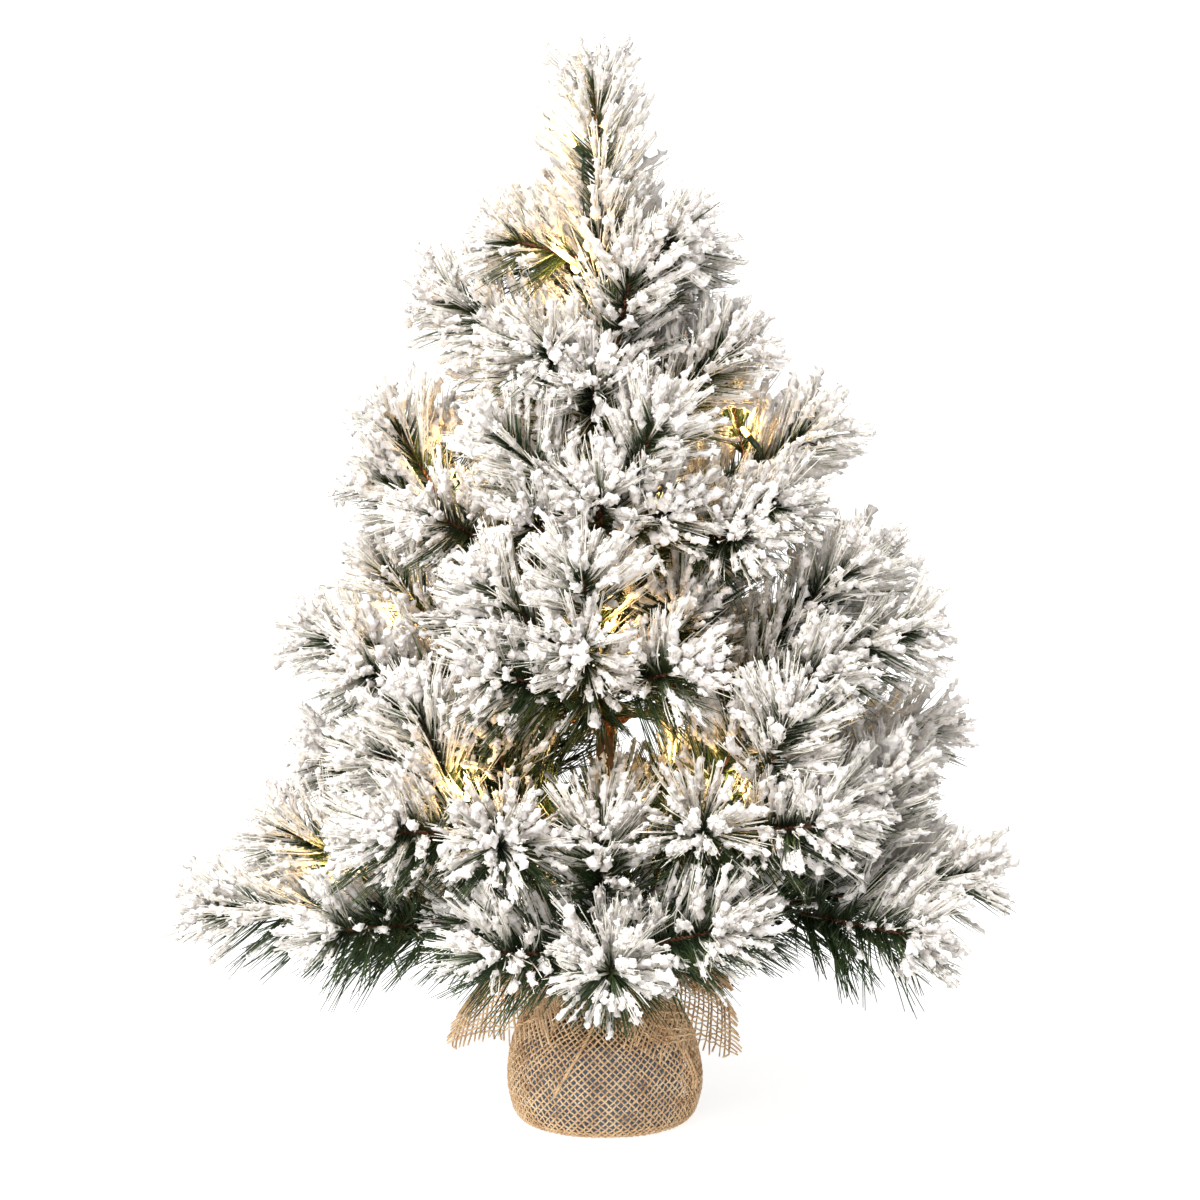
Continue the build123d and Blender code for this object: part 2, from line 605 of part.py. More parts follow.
# ---- write the parts -------------------------------------------------------------
os.makedirs("parts", exist_ok=True)
branches = {name: Branch(name) for name in BRANCHES}
for name, branch in branches.items():
    save(f"{name}_stem", branch.stem())
    save(f"{name}_needles", *branch.needles())
    if branch.lamps:
        save(f"{name}_lights", *branch.lights())

bindings = []
for tier in TIERS:
    bindings.append(tier_binding([b for name, b in branches.items() if name.startswith(tier + "_")]))
save("branch_bindings", *bindings)
save("trunk_pole", rod(Vector(0, 0, TRUNK_FOOT), Vector(0, 0, TRUNK_TOP), TRUNK_R))
save("trunk_tape", ring(TRUNK_R, TRUNK_R + TAPE, CLOTH + POT_HEIGHT, TRUNK_TOP))
save("leader_stem", leader_stem())
save("leader_needles", *leader_needles())
save("trunk_lights", light_wire(), *leader_lights())
save("plastic_pot", plastic_pot())
save("cement_weight", cement_weight())
save("burlap_wrap", burlap_wrap())
save("neck_twine", *neck_twine())
save("battery_case", battery_case())
save("battery_cover", battery_cover())
save("battery_cells", *battery_cells())
save("battery_contacts", *battery_contacts())
save("circuit_board", circuit_board())
save("switch_knob", switch_knob())
save("case_pad", case_pad())
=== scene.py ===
import json
from math import cos, pi, radians, sin, sqrt, tau

import bpy
import numpy as np
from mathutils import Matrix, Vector


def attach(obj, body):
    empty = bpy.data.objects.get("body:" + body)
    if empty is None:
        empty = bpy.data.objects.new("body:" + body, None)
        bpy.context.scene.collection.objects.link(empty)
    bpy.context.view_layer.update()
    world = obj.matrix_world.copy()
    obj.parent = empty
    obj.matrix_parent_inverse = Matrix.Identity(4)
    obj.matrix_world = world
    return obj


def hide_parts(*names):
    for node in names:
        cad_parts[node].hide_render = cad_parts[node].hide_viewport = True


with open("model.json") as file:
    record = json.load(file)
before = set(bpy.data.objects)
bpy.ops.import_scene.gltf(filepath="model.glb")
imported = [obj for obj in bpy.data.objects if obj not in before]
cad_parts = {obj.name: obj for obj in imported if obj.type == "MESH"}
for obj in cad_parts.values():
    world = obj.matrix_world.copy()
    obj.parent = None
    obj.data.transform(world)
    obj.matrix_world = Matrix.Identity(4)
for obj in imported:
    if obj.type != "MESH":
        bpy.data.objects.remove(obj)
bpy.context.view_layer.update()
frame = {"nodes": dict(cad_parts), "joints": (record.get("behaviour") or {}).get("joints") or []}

MM = 0.001
UP = np.array([0.0, 0.0, 1.0])
GOLDEN = pi * (3 - sqrt(5))

# Needles and flock, in metres
WIRE_TO_TIP = 20 * MM          # the CAD tufts end this far past their wires
NEEDLE = 50 * MM
NEEDLE_R = 0.44 * MM
BUNDLE_PITCH = 1.1 * MM        # one bundle of needles per this much wire
NEEDLES_IN_BUNDLE = 5
ROOT_FRINGE = 17 * MM          # loose needles stand this far inside the root of a CAD tuft
NOSE_BUNDLES = 12
FINGER_RINGS = 15
FINGER_SIDES = 7
FINGER_BLOBS = 11
FINGER_CRUMBS = 5              # small lumps that stand out of each finger of flock
DUST_CRUMBS = 80
FLOCK_R = 2.2 * MM
LAMP_CLEARING = 8 * MM         # needles are parted this far round the way out of a lamp
LAMP_SIGHT = 42 * MM           # length of that way
NEEDLE_SCATTER = 0.085         # how far a needle's direction strays from its bundle's
HEAVY_ENOUGH = 0.16            # bundles with more snow than this carry a finger of flock

# Wires and lamps
WIRE_TWIST = 7 * MM            # pitch of the twist of branch wires
LAMP_WIRE_TWIST = 16 * MM
LAMP_LIGHT_W = 0.06
LAMP_GLOW = (1.0, 0.6, 0.2)
LENS_GLOW = (1.0, 0.66, 0.12, 1.0)
HOLDER_H = 10 * MM             # from the lamp wire to the rim that holds the lens
LIGHT_START = (9 * MM, 6.4 * MM)    # where a lamp wire joins its branch: along it, and above it

BLACK = (0, 0, 0, 1)
WHITE = (1, 1, 1, 1)


# ---- mesh helpers ----------------------------------------------------------------
def unit(v):
    """Vectors scaled to length 1, along the last axis."""
    v = np.asarray(v, float)
    return v / np.maximum(np.linalg.norm(v, axis=-1, keepdims=True), 1e-12)


def across(d):
    """Two directions square to each direction in d."""
    helper = np.where(np.abs(d[..., 2:3]) > 0.9, np.array([1.0, 0, 0]), UP)
    first = unit(np.cross(d, helper))
    return first, np.cross(d, first)


def smoothstep(low, high, x):
    """0 below low, 1 above high, and a smooth rise between them."""
    t = np.clip((x - low) / (high - low), 0, 1)
    return t * t * (3 - 2 * t)


class Shape:
    """Vertices, faces and one value per vertex, gathered before a mesh is made."""

    def __init__(self):
        self.points, self.quads, self.tris, self.values, self.count = [], [], [], [], 0

    def add(self, points, quads=None, tris=None, values=None):
        points = np.asarray(points, float).reshape(-1, 3)
        self.points.append(points)
        self.values.append(np.zeros(len(points)) if values is None else np.ravel(values))
        if quads is not None and len(quads):
            self.quads.append(np.asarray(quads).reshape(-1, 4) + self.count)
        if tris is not None and len(tris):
            self.tris.append(np.asarray(tris).reshape(-1, 3) + self.count)
        self.count += len(points)

    def mesh(self, name):
        points = np.concatenate(self.points)
        quads = np.concatenate(self.quads) if self.quads else np.zeros((0, 4), int)
        tris = np.concatenate(self.tris) if self.tris else np.zeros((0, 3), int)
        data = bpy.data.meshes.new(name)
        data.vertices.add(len(points))
        data.vertices.foreach_set("co", points.ravel())
        loops = np.concatenate([quads.ravel(), tris.ravel()])
        data.loops.add(len(loops))
        data.loops.foreach_set("vertex_index", loops)
        starts = np.concatenate([np.arange(len(quads)) * 4, len(quads) * 4 + np.arange(len(tris)) * 3])
        data.polygons.add(len(starts))
        data.polygons.foreach_set("loop_start", starts)
        data.polygons.foreach_set("use_smooth", np.ones(len(starts), bool))
        data.update(calc_edges=True)
        frost = data.attributes.new("frost", "FLOAT", "POINT")
        frost.data.foreach_set("value", np.concatenate(self.values))
        return data


def new_object(name, data):
    """An object in the scene."""
    obj = bpy.data.objects.new(name, data)
    bpy.context.scene.collection.objects.link(obj)
    return obj


def aim(obj, direction):
    """Turns a light or camera to face along a direction."""
    obj.rotation_mode = "QUATERNION"
    obj.rotation_quaternion = Vector(direction).to_track_quat("-Z", "Y")


def piece(shape, name, body, material, replaces=()):
    """Makes the shape an object that rides on a body."""
    data = shape.mesh(name)
    data.materials.append(material)
    obj = new_object(name, data)
    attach(obj, body)
    if replaces:
        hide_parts(*replaces)
    return obj


def tube_faces(tubes, points, sides):
    """Side quads and end triangles of closed tubes, each with points rings of sides corners."""
    base = (np.arange(tubes) * points * sides)[:, None, None]
    row = (np.arange(points - 1) * sides)[None, :, None]
    k = np.arange(sides)[None, None, :]
    here, after = base + row + k, base + row + (k + 1) % sides
    quads = np.stack([here, after, after + sides, here + sides], -1)
    fan = np.arange(1, sides - 1)
    low = np.stack([np.zeros_like(fan), fan + 1, fan], -1)[None] + base
    high = np.stack([np.zeros_like(fan), fan, fan + 1], -1)[None] + base + (points - 1) * sides
    return quads, np.concatenate([low.reshape(-1, 3), high.reshape(-1, 3)])


def add_tubes(shape, lines, radii, sides, values=None):
    """Closed round tubes, all with the same number of points. lines is (tubes, points, 3)."""
    lines = np.asarray(lines, float)
    tubes, points = lines.shape[:2]
    radii = np.broadcast_to(radii, (tubes, points))
    tangent = unit(np.gradient(lines, axis=1))
    first, second = across(tangent[:, points // 2])
    first = unit(first[:, None] - (first[:, None] * tangent).sum(-1, keepdims=True) * tangent)
    second = np.cross(tangent, first)
    turn = np.arange(sides) * tau / sides
    ring = (first[:, :, None] * np.cos(turn)[:, None] + second[:, :, None] * np.sin(turn)[:, None])
    verts = lines[:, :, None] + ring * radii[:, :, None, None]
    if values is not None:
        values = np.repeat(np.broadcast_to(values, (tubes, points))[:, :, None], sides, 2)
    shape.add(verts, *tube_faces(tubes, points, sides), values)


def add_path(shape, points, radius, sides=8, value=0.0):
    """One closed tube along a path, its rings carried along without twist."""
    points = np.asarray(points, float)
    tangent = unit(np.gradient(points, axis=0))
    normal = across(tangent[:1])[0][0]
    frames = []
    for direction in tangent:
        normal = unit(normal - normal.dot(direction) * direction)
        frames.append(normal)
    first = np.array(frames)
    second = np.cross(tangent, first)
    turn = np.arange(sides) * tau / sides
    radius = np.broadcast_to(radius, len(points))
    ring = first[:, None] * np.cos(turn)[:, None] + second[:, None] * np.sin(turn)[:, None]
    verts = points[:, None] + ring * radius[:, None, None]
    shape.add(verts, *tube_faces(1, len(points), sides), np.full(verts.shape[:2], value))


def add_lathe(shape, outline, base, direction, sides=20, value=0.0):
    """A turned solid: outline is (radius, height) from its foot to its top, both on the axis."""
    outline = np.asarray(outline, float)
    direction = unit(direction)
    first, second = across(direction[None])
    turn = np.arange(sides) * tau / sides
    ring = first * np.cos(turn)[:, None] + second * np.sin(turn)[:, None]
    inner = outline[1:-1]
    rings = base + direction * inner[:, 1, None, None] + ring[None] * inner[:, 0, None, None]
    ends = np.array([base + direction * outline[0, 1], base + direction * outline[-1, 1]])
    quads, _ = tube_faces(1, len(inner), sides)
    flat = np.arange(sides)
    nxt = (flat + 1) % sides
    last = (len(inner) - 1) * sides
    foot, top = len(inner) * sides, len(inner) * sides + 1
    low = np.stack([nxt, flat, np.full(sides, foot)], -1)
    high = np.stack([last + flat, last + nxt, np.full(sides, top)], -1)
    shape.add(np.concatenate([rings.reshape(-1, 3), ends]), quads, np.concatenate([low, high]),
              np.full(len(inner) * sides + 2, value))


def smooth_path(points, step):
    """A Catmull-Rom curve through the points, sampled about every step."""
    points = np.asarray(points, float)
    padded = np.concatenate([[2 * points[0] - points[1]], points, [2 * points[-1] - points[-2]]])
    out = []
    for a, b, c, d in zip(padded, padded[1:], padded[2:], padded[3:]):
        count = max(2, int(np.linalg.norm(c - b) / step))
        t = (np.arange(count) / count)[:, None]
        out.append(0.5 * (2 * b + (c - a) * t + (2 * a - 5 * b + 4 * c - d) * t ** 2
                          + (3 * b - a - 3 * c + d) * t ** 3))
    return np.concatenate(out + [points[-1:]])


def twisted(points, offset, pitch, strands=2):
    """Lines of strands twisted round a path, each this offset from it."""
    points = np.asarray(points, float)
    tangent = unit(np.gradient(points, axis=0))
    first, second = across(tangent)
    along = np.concatenate([[0], np.cumsum(np.linalg.norm(np.diff(points, axis=0), axis=1))])
    lines = []
    for strand in range(strands):
        angle = along / pitch * tau + strand * tau / strands
        lines.append(points + (first * np.cos(angle)[:, None] + second * np.sin(angle)[:, None]) * offset)
    return lines


# ---- materials -------------------------------------------------------------------
def rgb(r, g, b):
    """A colour from its 0 to 255 screen values."""
    values = [c / 255 for c in (r, g, b)]
    return tuple(c / 12.92 if c <= 0.04045 else ((c + 0.055) / 1.055) ** 2.4 for c in values) + (1.0,)


class Look:
    """A Principled material whose colour and surface come from nodes."""

    def __init__(self, name, roughness=0.6, metallic=0.0):
        self.material = bpy.data.materials.new(name)
        self.material.use_nodes = True
        self.tree = self.material.node_tree
        self.shader = self.tree.nodes["Principled BSDF"]
        self.shader.inputs["Roughness"].default_value = roughness
        self.shader.inputs["Metallic"].default_value = metallic
        self.coords = self.tree.nodes.new("ShaderNodeTexCoord")

    def node(self, kind, **inputs):
        made = self.tree.nodes.new(kind)
        for key, value in inputs.items():
            made.inputs[key.replace("_", " ")].default_value = value
        return made

    def link(self, source, target):
        self.tree.links.new(source, target)

    def noise(self, scale, detail=3.0, roughness=0.55):
        made = self.node("ShaderNodeTexNoise", Scale=scale, Detail=detail, Roughness=roughness)
        self.link(self.coords.outputs["Object"], made.inputs["Vector"])
        return made.outputs["Fac"]

    def cells(self, scale):
        made = self.node("ShaderNodeTexVoronoi", Scale=scale)
        self.link(self.coords.outputs["Object"], made.inputs["Vector"])
        return made.outputs["Distance"]

    def wave(self, scale, direction="Z", distortion=0.0):
        made = self.node("ShaderNodeTexWave", Scale=scale, Distortion=distortion)
        made.bands_direction = direction
        self.link(self.coords.outputs["Object"], made.inputs["Vector"])
        return made.outputs["Fac"]

    def ramp(self, factor, *stops):
        """Colours along a value: stops are (position, colour)."""
        made = self.tree.nodes.new("ShaderNodeValToRGB")
        elements = made.color_ramp.elements
        while len(elements) < len(stops):
            elements.new(0.5)
        for element, (position, colour) in zip(elements, stops):
            element.position, element.color = position, colour
        self.link(factor, made.inputs["Fac"])
        return made.outputs["Color"]

    def mix(self, factor, first, second):
        made = self.tree.nodes.new("ShaderNodeMix")
        made.data_type = "RGBA"
        self.link(factor, made.inputs["Factor"])
        for source, target in ((first, made.inputs["A"]), (second, made.inputs["B"])):
            if isinstance(source, tuple):
                target.default_value = source
            else:
                self.link(source, target)
        return made.outputs["Result"]

    def math(self, operation, first, second):
        made = self.tree.nodes.new("ShaderNodeMath")
        made.operation = operation
        made.use_clamp = True
        for source, target in ((first, made.inputs[0]), (second, made.inputs[1])):
            if isinstance(source, (int, float)):
                target.default_value = source
            else:
                self.link(source, target)
        return made.outputs["Value"]

    def value(self, name):
        """A value stored on the mesh."""
        made = self.tree.nodes.new("ShaderNodeAttribute")
        made.attribute_name = name
        return made.outputs["Fac"]

    def colour(self, source):
        self.link(source, self.shader.inputs["Base Color"])
        return self

    def bump(self, height, distance, strength=1.0):
        made = self.node("ShaderNodeBump", Strength=strength, Distance=distance)
        self.link(height, made.inputs["Height"])
        self.link(made.outputs["Normal"], self.shader.inputs["Normal"])
        return self

    def set(self, **inputs):
        for key, value in inputs.items():
            self.shader.inputs[key.replace("_", " ")].default_value = value
        return self


def needle_material():
    """Thin foil needles, green below and dusted with flock where the frost value is high."""
    look = Look("needle_foil", roughness=0.55)
    greens = (0.3, rgb(26, 40, 22)), (0.5, rgb(48, 68, 36)), (0.72, rgb(88, 100, 54))
    green = look.ramp(look.noise(70, detail=4), *greens)
    patch = look.noise(520, detail=3, roughness=0.7)
    dusted = look.math("MULTIPLY", look.value("frost"), look.math("ADD", patch, 0.35))
    cover = look.ramp(dusted, (0.3, BLACK), (0.6, WHITE))
    return look.colour(look.mix(cover, green, rgb(224, 220, 208))).set(Specular_IOR_Level=0.35).material


def flock_material():
    """Chalky fibre flock, cream on some lumps, with painted shade that makes it a little darker in its
    hollows.
    """
    look = Look("flock", roughness=0.92)
    whites = (0.3, rgb(250, 245, 243)), (0.52, rgb(255, 252, 250)), (0.74, rgb(252, 244, 230))
    tint = look.ramp(look.noise(38, detail=3), *whites)
    # painted shade: a greyer cream laid along the edges of small cells stands in for shade in the flock's
    # hollows
    painted_hollow_shade = look.ramp(look.cells(330), (0.0, BLACK), (0.75, WHITE))
    look.colour(look.mix(painted_hollow_shade, tint, rgb(240, 233, 228)))
    fibre = look.noise(1500, detail=4, roughness=0.7)
    grain = look.math("ADD", fibre, look.math("MULTIPLY", look.cells(520), 0.6))
    look.bump(grain, 0.9 * MM, 0.9)
    return look.set(Sheen_Weight=0.25, Sheen_Roughness=0.6, Specular_IOR_Level=0.2).material


def stem_material():
    """Rust-brown wire, clouded in tone, with a fine bump."""
    look = Look("twisted_wire", roughness=0.6, metallic=0.15)
    browns = (0.3, rgb(66, 36, 22)), (0.55, rgb(104, 60, 36)), (0.8, rgb(140, 92, 58))
    tone = look.ramp(look.noise(260, detail=5), *browns)
    return look.colour(tone).bump(look.noise(900, detail=3), 0.25 * MM, 0.6).material


def jute_material(name, dark, middle, light):
    """Jute yarn: straw-coloured fibres with darker flecks."""
    look = Look(name, roughness=0.9)
    fibre = look.noise(1400, detail=4, roughness=0.7)
    tone = look.ramp(look.noise(90, detail=5, roughness=0.65), (0.3, dark), (0.5, middle), (0.72, light))
    fleck = look.ramp(fibre, (0.25, BLACK), (0.5, WHITE))
    look.colour(look.mix(fleck, dark, tone))
    return look.bump(fibre, 0.2 * MM, 0.5).set(Sheen_Weight=0.2, Specular_IOR_Level=0.25).material


def plastic_material(name, base, light, roughness, grain=900, height=0.05):
    """Moulded plastic with a faint cloud of tone and a fine spark-eroded grain."""
    look = Look(name, roughness=roughness)
    look.colour(look.ramp(look.noise(60, detail=2), (0.35, base), (0.7, light)))
    return look.bump(look.noise(grain, detail=2), height * MM, 0.6).material


def cement_material():
    """Rough cast cement, mottled in light grey."""
    look = Look("cast_cement", roughness=0.95)
    mottle = look.noise(160, detail=6, roughness=0.7)
    look.colour(look.ramp(mottle, (0.3, rgb(120, 120, 116)), (0.7, rgb(176, 175, 168))))
    return look.bump(look.noise(420, detail=5), 0.8 * MM, 0.8).material


def tape_material():
    """Crepe paper tape with fine wrinkles across its length."""
    look = Look("crepe_tape", roughness=0.85)
    look.colour(look.ramp(look.noise(240, detail=4), (0.3, rgb(40, 28, 20)), (0.7, rgb(70, 50, 36))))
    return look.bump(look.wave(420, "Z", 6.0), 0.25 * MM, 0.7).material


def metal_material(name, dark, light, roughness):
    """Metal with a slight cloud of tone and fine scratches."""
    look = Look(name, roughness=roughness, metallic=1.0)
    look.colour(look.ramp(look.noise(500, detail=3), (0.3, dark), (0.7, light)))
    return look.bump(look.noise(1600, detail=2), 0.05 * MM, 0.4).material


def lens_material():
    """Clear lens over a lit warm-white diode."""
    look = Look("lit_lens", roughness=0.2)
    look.colour(look.ramp(look.noise(400), (0.4, rgb(255, 214, 120)), (0.7, rgb(255, 236, 170))))
    return look.set(Emission_Color=LENS_GLOW, Emission_Strength=10.0).material


def cell_material():
    """Plain dark jacket of a battery cell."""
    look = Look("cell_jacket", roughness=0.3)
    look.colour(look.ramp(look.noise(90, detail=2), (0.3, rgb(34, 36, 40)), (0.7, rgb(52, 55, 60))))
    return look.bump(look.noise(1200), 0.02 * MM, 0.4).material


def board_material():
    """Green solder mask of the circuit board."""
    look = Look("solder_mask", roughness=0.35)
    look.colour(look.ramp(look.noise(500, detail=3), (0.35, rgb(24, 78, 44)), (0.7, rgb(38, 104, 60))))
    return look.bump(look.noise(900), 0.03 * MM, 0.4).material


NEEDLES = needle_material()
FLOCK = flock_material()
STEM = stem_material()
BURLAP = jute_material("burlap_yarn", rgb(172, 134, 94), rgb(222, 188, 146), rgb(244, 218, 180))
TWINE = jute_material("jute_twine", rgb(160, 124, 84), rgb(212, 178, 132), rgb(236, 208, 166))
WIRE_GREEN = plastic_material("lamp_wire_green", rgb(22, 44, 28), rgb(34, 60, 40), 0.4)
HOLDER_GREEN = plastic_material("lamp_holder_green", rgb(18, 40, 26), rgb(30, 56, 36), 0.35)
POT = plastic_material("pot_plastic", rgb(96, 108, 124), rgb(122, 134, 148), 0.6, grain=300, height=0.2)
CASE = plastic_material("case_plastic", rgb(20, 38, 28), rgb(30, 50, 38), 0.5)
KNOB = plastic_material("knob_plastic", rgb(20, 20, 21), rgb(34, 34, 36), 0.45)
PAD = plastic_material("grip_pad", rgb(18, 18, 19), rgb(32, 32, 34), 0.95, grain=700, height=0.8)
CEMENT = cement_material()
TAPE = tape_material()
BINDING = metal_material("binding_wire", rgb(74, 48, 32), rgb(112, 78, 52), 0.5)
CONTACT = metal_material("contact_metal", rgb(176, 176, 172), rgb(214, 214, 210), 0.25)
LENS = lens_material()
CELLS = cell_material()
BOARD = board_material()


# ---- reading the frame -----------------------------------------------------------
def loose_parts(node):
    """The separate solids of a CAD node, each as an array of its points."""
    data = frame["nodes"][node].data
    points = np.zeros(len(data.vertices) * 3)
    data.vertices.foreach_get("co", points)
    points = points.reshape(-1, 3)
    edges = np.zeros(len(data.edges) * 2, int)
    data.edges.foreach_get("vertices", edges)
    _, same = np.unique(np.round(points / (0.01 * MM)).astype(int), axis=0, return_inverse=True)
    same = same.ravel()
    parent = np.arange(same.max() + 1)

    def find(i):
        while parent[i] != i:
            parent[i] = parent[parent[i]]
            i = parent[i]
        return i

    for a, b in same[edges.reshape(-1, 2)]:
        a, b = find(a), find(b)
        if a != b:
            parent[a] = b
    roots = np.array([find(i) for i in range(len(parent))])[same]
    return [points[roots == r] for r in np.unique(roots)]


def axis_of(points, origin):
    """The two ends of a slim turned solid, the end nearest to origin first."""
    centre = points.mean(0)
    spread = np.linalg.svd(points - centre, full_matrices=False)[2][0]
    along = (points - centre) @ spread
    low = points[along < along.min() + 0.6 * MM].mean(0)
    high = points[along > along.max() - 0.6 * MM].mean(0)
    if np.linalg.norm(low - origin) > np.linalg.norm(high - origin):
        low, high = high, low
    return low, high


def tufts_of(node, origin):
    """Root and wire end of each tuft of a needles node, the longest first."""
    tufts = []
    for points in loose_parts(node):
        root, tip = axis_of(points, origin)
        end = tip - unit(tip - root) * WIRE_TO_TIP
        tufts.append((root, end))
    return sorted(tufts, key=lambda ends: -np.linalg.norm(ends[1] - ends[0]))


def foot_on(line_a, line_b, start, direction):
    """The point of the line a-b nearest to the line through start along direction."""
    run = unit(line_b - line_a)
    normal = np.cross(run, direction)
    normal2 = np.cross(direction, normal)
    share = (start - line_a).dot(normal2) / run.dot(normal2)
    return line_a + run * share


def lens_parts_of(node, start):
    """The lenses of a lights node, the nearest to start first."""
    small = [p for p in loose_parts(node) if np.ptp(p, axis=0).max() < 8 * MM]
    return sorted(small, key=lambda p: np.linalg.norm(p.mean(0) - start))


def lamp_ways():
    """For each lamp, its place and the way through the needles in front of it."""
    ways = []
    for node in frame["nodes"]:
        if node.endswith("_lights"):
            for points in lens_parts_of(node, np.zeros(3)):
                place = points.mean(0)
                out = unit(0.7 * unit(place * np.array([1, 1, 0])) + np.array([0, -0.7, 0.12]))
                ways.append((place, out * LAMP_SIGHT))
    return ways


LAMP_WAYS = lamp_ways()


# ---- needles and flock -----------------------------------------------------------
def bundles(rng, root, end, reach):
    """Bundles of needles round one wire: where each starts, its direction, its length and
    how far along the wire it sits."""
    length = np.linalg.norm(end - root)
    axis = unit(end - root)
    first, second = across(axis[None])
    count = int(length / BUNDLE_PITCH)
    share = (np.arange(count) + rng.random(count)) / count
    turn = np.arange(count) * GOLDEN + rng.normal(0, 0.35, count)
    lean = np.radians(50 - 9 * share + rng.normal(0, 7, count))
    size = reach * (0.8 + 0.2 * smoothstep(0, 0.25, share)) * (1 - 0.2 * smoothstep(0.7, 1, share))
    nose = NOSE_BUNDLES
    share = np.concatenate([share, 1 - 0.03 * rng.random(nose)])
    turn = np.concatenate([turn, np.arange(nose) * GOLDEN * 1.7])
    lean = np.concatenate([lean, np.radians(8 + 28 * np.sqrt(rng.random(nose)))])
    size = np.concatenate([size, reach * (0.56 + 0.1 * rng.random(nose))])
    size *= 1 + rng.normal(0, 0.07, len(size))
    spin = first * np.cos(turn)[:, None] + second * np.sin(turn)[:, None]
    direction = unit(axis * np.cos(lean)[:, None] + spin * np.sin(lean)[:, None])
    start = root + axis * (share * length)[:, None]
    return start, direction, size, share, np.broadcast_to(axis, direction.shape)


def add_needles(shape, rng, start, direction, size, axis, frost):
    """Needles of each bundle, curved a little and drawn together at their ends."""
    per = NEEDLES_IN_BUNDLE
    tip = start + direction * size[:, None]
    scatter = rng.normal(0, NEEDLE_SCATTER, (len(start), per, 3))
    feet = start[:, None] + axis[:, None] * rng.normal(0, 1.6 * MM, (len(start), per, 1))
    own = unit(direction[:, None] + scatter)
    reach = size[:, None] * (0.9 + 0.22 * rng.random((len(start), per)))
    ends = feet + own * reach[..., None]
    ends += (tip[:, None] - ends) * 0.3
    middle = (feet + ends) / 2 + rng.normal(0, 1.0 * MM, ends.shape) - (axis[:, None] * 1.4 * MM)
    t = np.array([0.0, 0.36, 0.7, 1.0])[None, None, :, None]
    feet, middle, ends = feet[:, :, None], middle[:, :, None], ends[:, :, None]
    lines = feet * (1 - t) ** 2 + middle * 2 * t * (1 - t) + ends * t ** 2
    radii = NEEDLE_R * np.array([0.9, 1.0, 0.85, 0.45])
    patches = rng.normal(0, 0.13, (len(start), per, 1))
    shade = np.clip(frost[:, None, None] * (0.1 + 1.2 * t[..., 0]) + patches, 0, 1)
    add_tubes(shape, lines.reshape(-1, 4, 3), radii, 3, shade.reshape(-1, 4))
    return lines.reshape(-1, 4, 3), shade.reshape(-1, 4)


def add_fingers(shape, rng, start, direction, begin, finish, fat):
    """Lumpy fingers of flock along bundles, each the outline of a row of overlapping blobs."""
    count = len(start)
    rings, sides, blobs = FINGER_RINGS, FINGER_SIDES, FINGER_BLOBS
    length = finish - begin
    first, second = across(direction)
    rows = np.linspace(0, 1, blobs)
    swell = 0.5 + 0.5 * np.sin(pi * np.clip(rows, 0, 0.7))
    blob_r = fat[:, None] * swell * rng.uniform(0.45, 1.25, (count, blobs))
    blob_r[:, 0] *= 0.5
    blob_at = blob_r[:, :1] + rows * (length[:, None] - blob_r[:, :1] - blob_r[:, -1:])
    blob_xy = rng.normal(0, 0.5, (count, blobs, 2)) * fat[:, None, None]
    at = np.linspace(0, 1, rings)[None] * length[:, None]
    turn = np.arange(sides) * tau / sides + rng.uniform(0, tau, (count, 1))
    ring = np.stack([np.cos(turn), np.sin(turn)], -1)
    flat_r2 = blob_r[:, None] ** 2 - (at[:, :, None] - blob_at[:, None]) ** 2
    toward = np.einsum("nsk,nbk->nsb", ring, blob_xy)
    off2 = (blob_xy ** 2).sum(-1)
    inside = flat_r2[:, :, None] - off2[:, None, None] + toward[:, None] ** 2
    outline = toward[:, None] + np.sqrt(np.maximum(inside, 0))
    reach = np.where((flat_r2[:, :, None] > 0) & (inside > 0), outline, 0)
    radius = np.maximum(reach.max(-1), 0.28 * fat[:, None, None])
    radius *= np.clip(1 + rng.normal(0, 0.15, radius.shape), 0.6, 1.5)
    radius[:, 0] *= 0.35
    radius[:, -1] *= 0.4
    centre = start[:, None] + direction[:, None] * (begin[:, None] + at)[..., None]
    spin = first[:, None] * np.cos(turn)[..., None] + second[:, None] * np.sin(turn)[..., None]
    verts = centre[:, :, None] + spin[:, None] * radius[..., None]
    shape.add(verts, *tube_faces(count, rings, sides))
    many = count * FINGER_CRUMBS
    on, ring_at = rng.integers(0, count, many), rng.integers(3, rings - 1, many)
    place = verts[on, ring_at, rng.integers(0, sides, many)]
    add_crumbs(shape, rng, place, rng.uniform(0.45, 1.1, many) * MM)


ICO = (1 + sqrt(5)) / 2        # an icosahedron's corners stand at 1 and this
ICO_POINTS = unit(np.array([
    (-1, ICO, 0), (1, ICO, 0), (-1, -ICO, 0), (1, -ICO, 0), (0, -1, ICO), (0, 1, ICO),
    (0, -1, -ICO), (0, 1, -ICO), (ICO, 0, -1), (ICO, 0, 1), (-ICO, 0, -1), (-ICO, 0, 1),
]))
ICO_FACES = np.array([
    (0, 11, 5), (0, 5, 1), (0, 1, 7), (0, 7, 10), (0, 10, 11), (1, 5, 9), (5, 11, 4),
    (11, 10, 2), (10, 7, 6), (7, 1, 8), (3, 9, 4), (3, 4, 2), (3, 2, 6), (3, 6, 8),
    (3, 8, 9), (4, 9, 5), (2, 4, 11), (6, 2, 10), (8, 6, 7), (9, 8, 1),
])


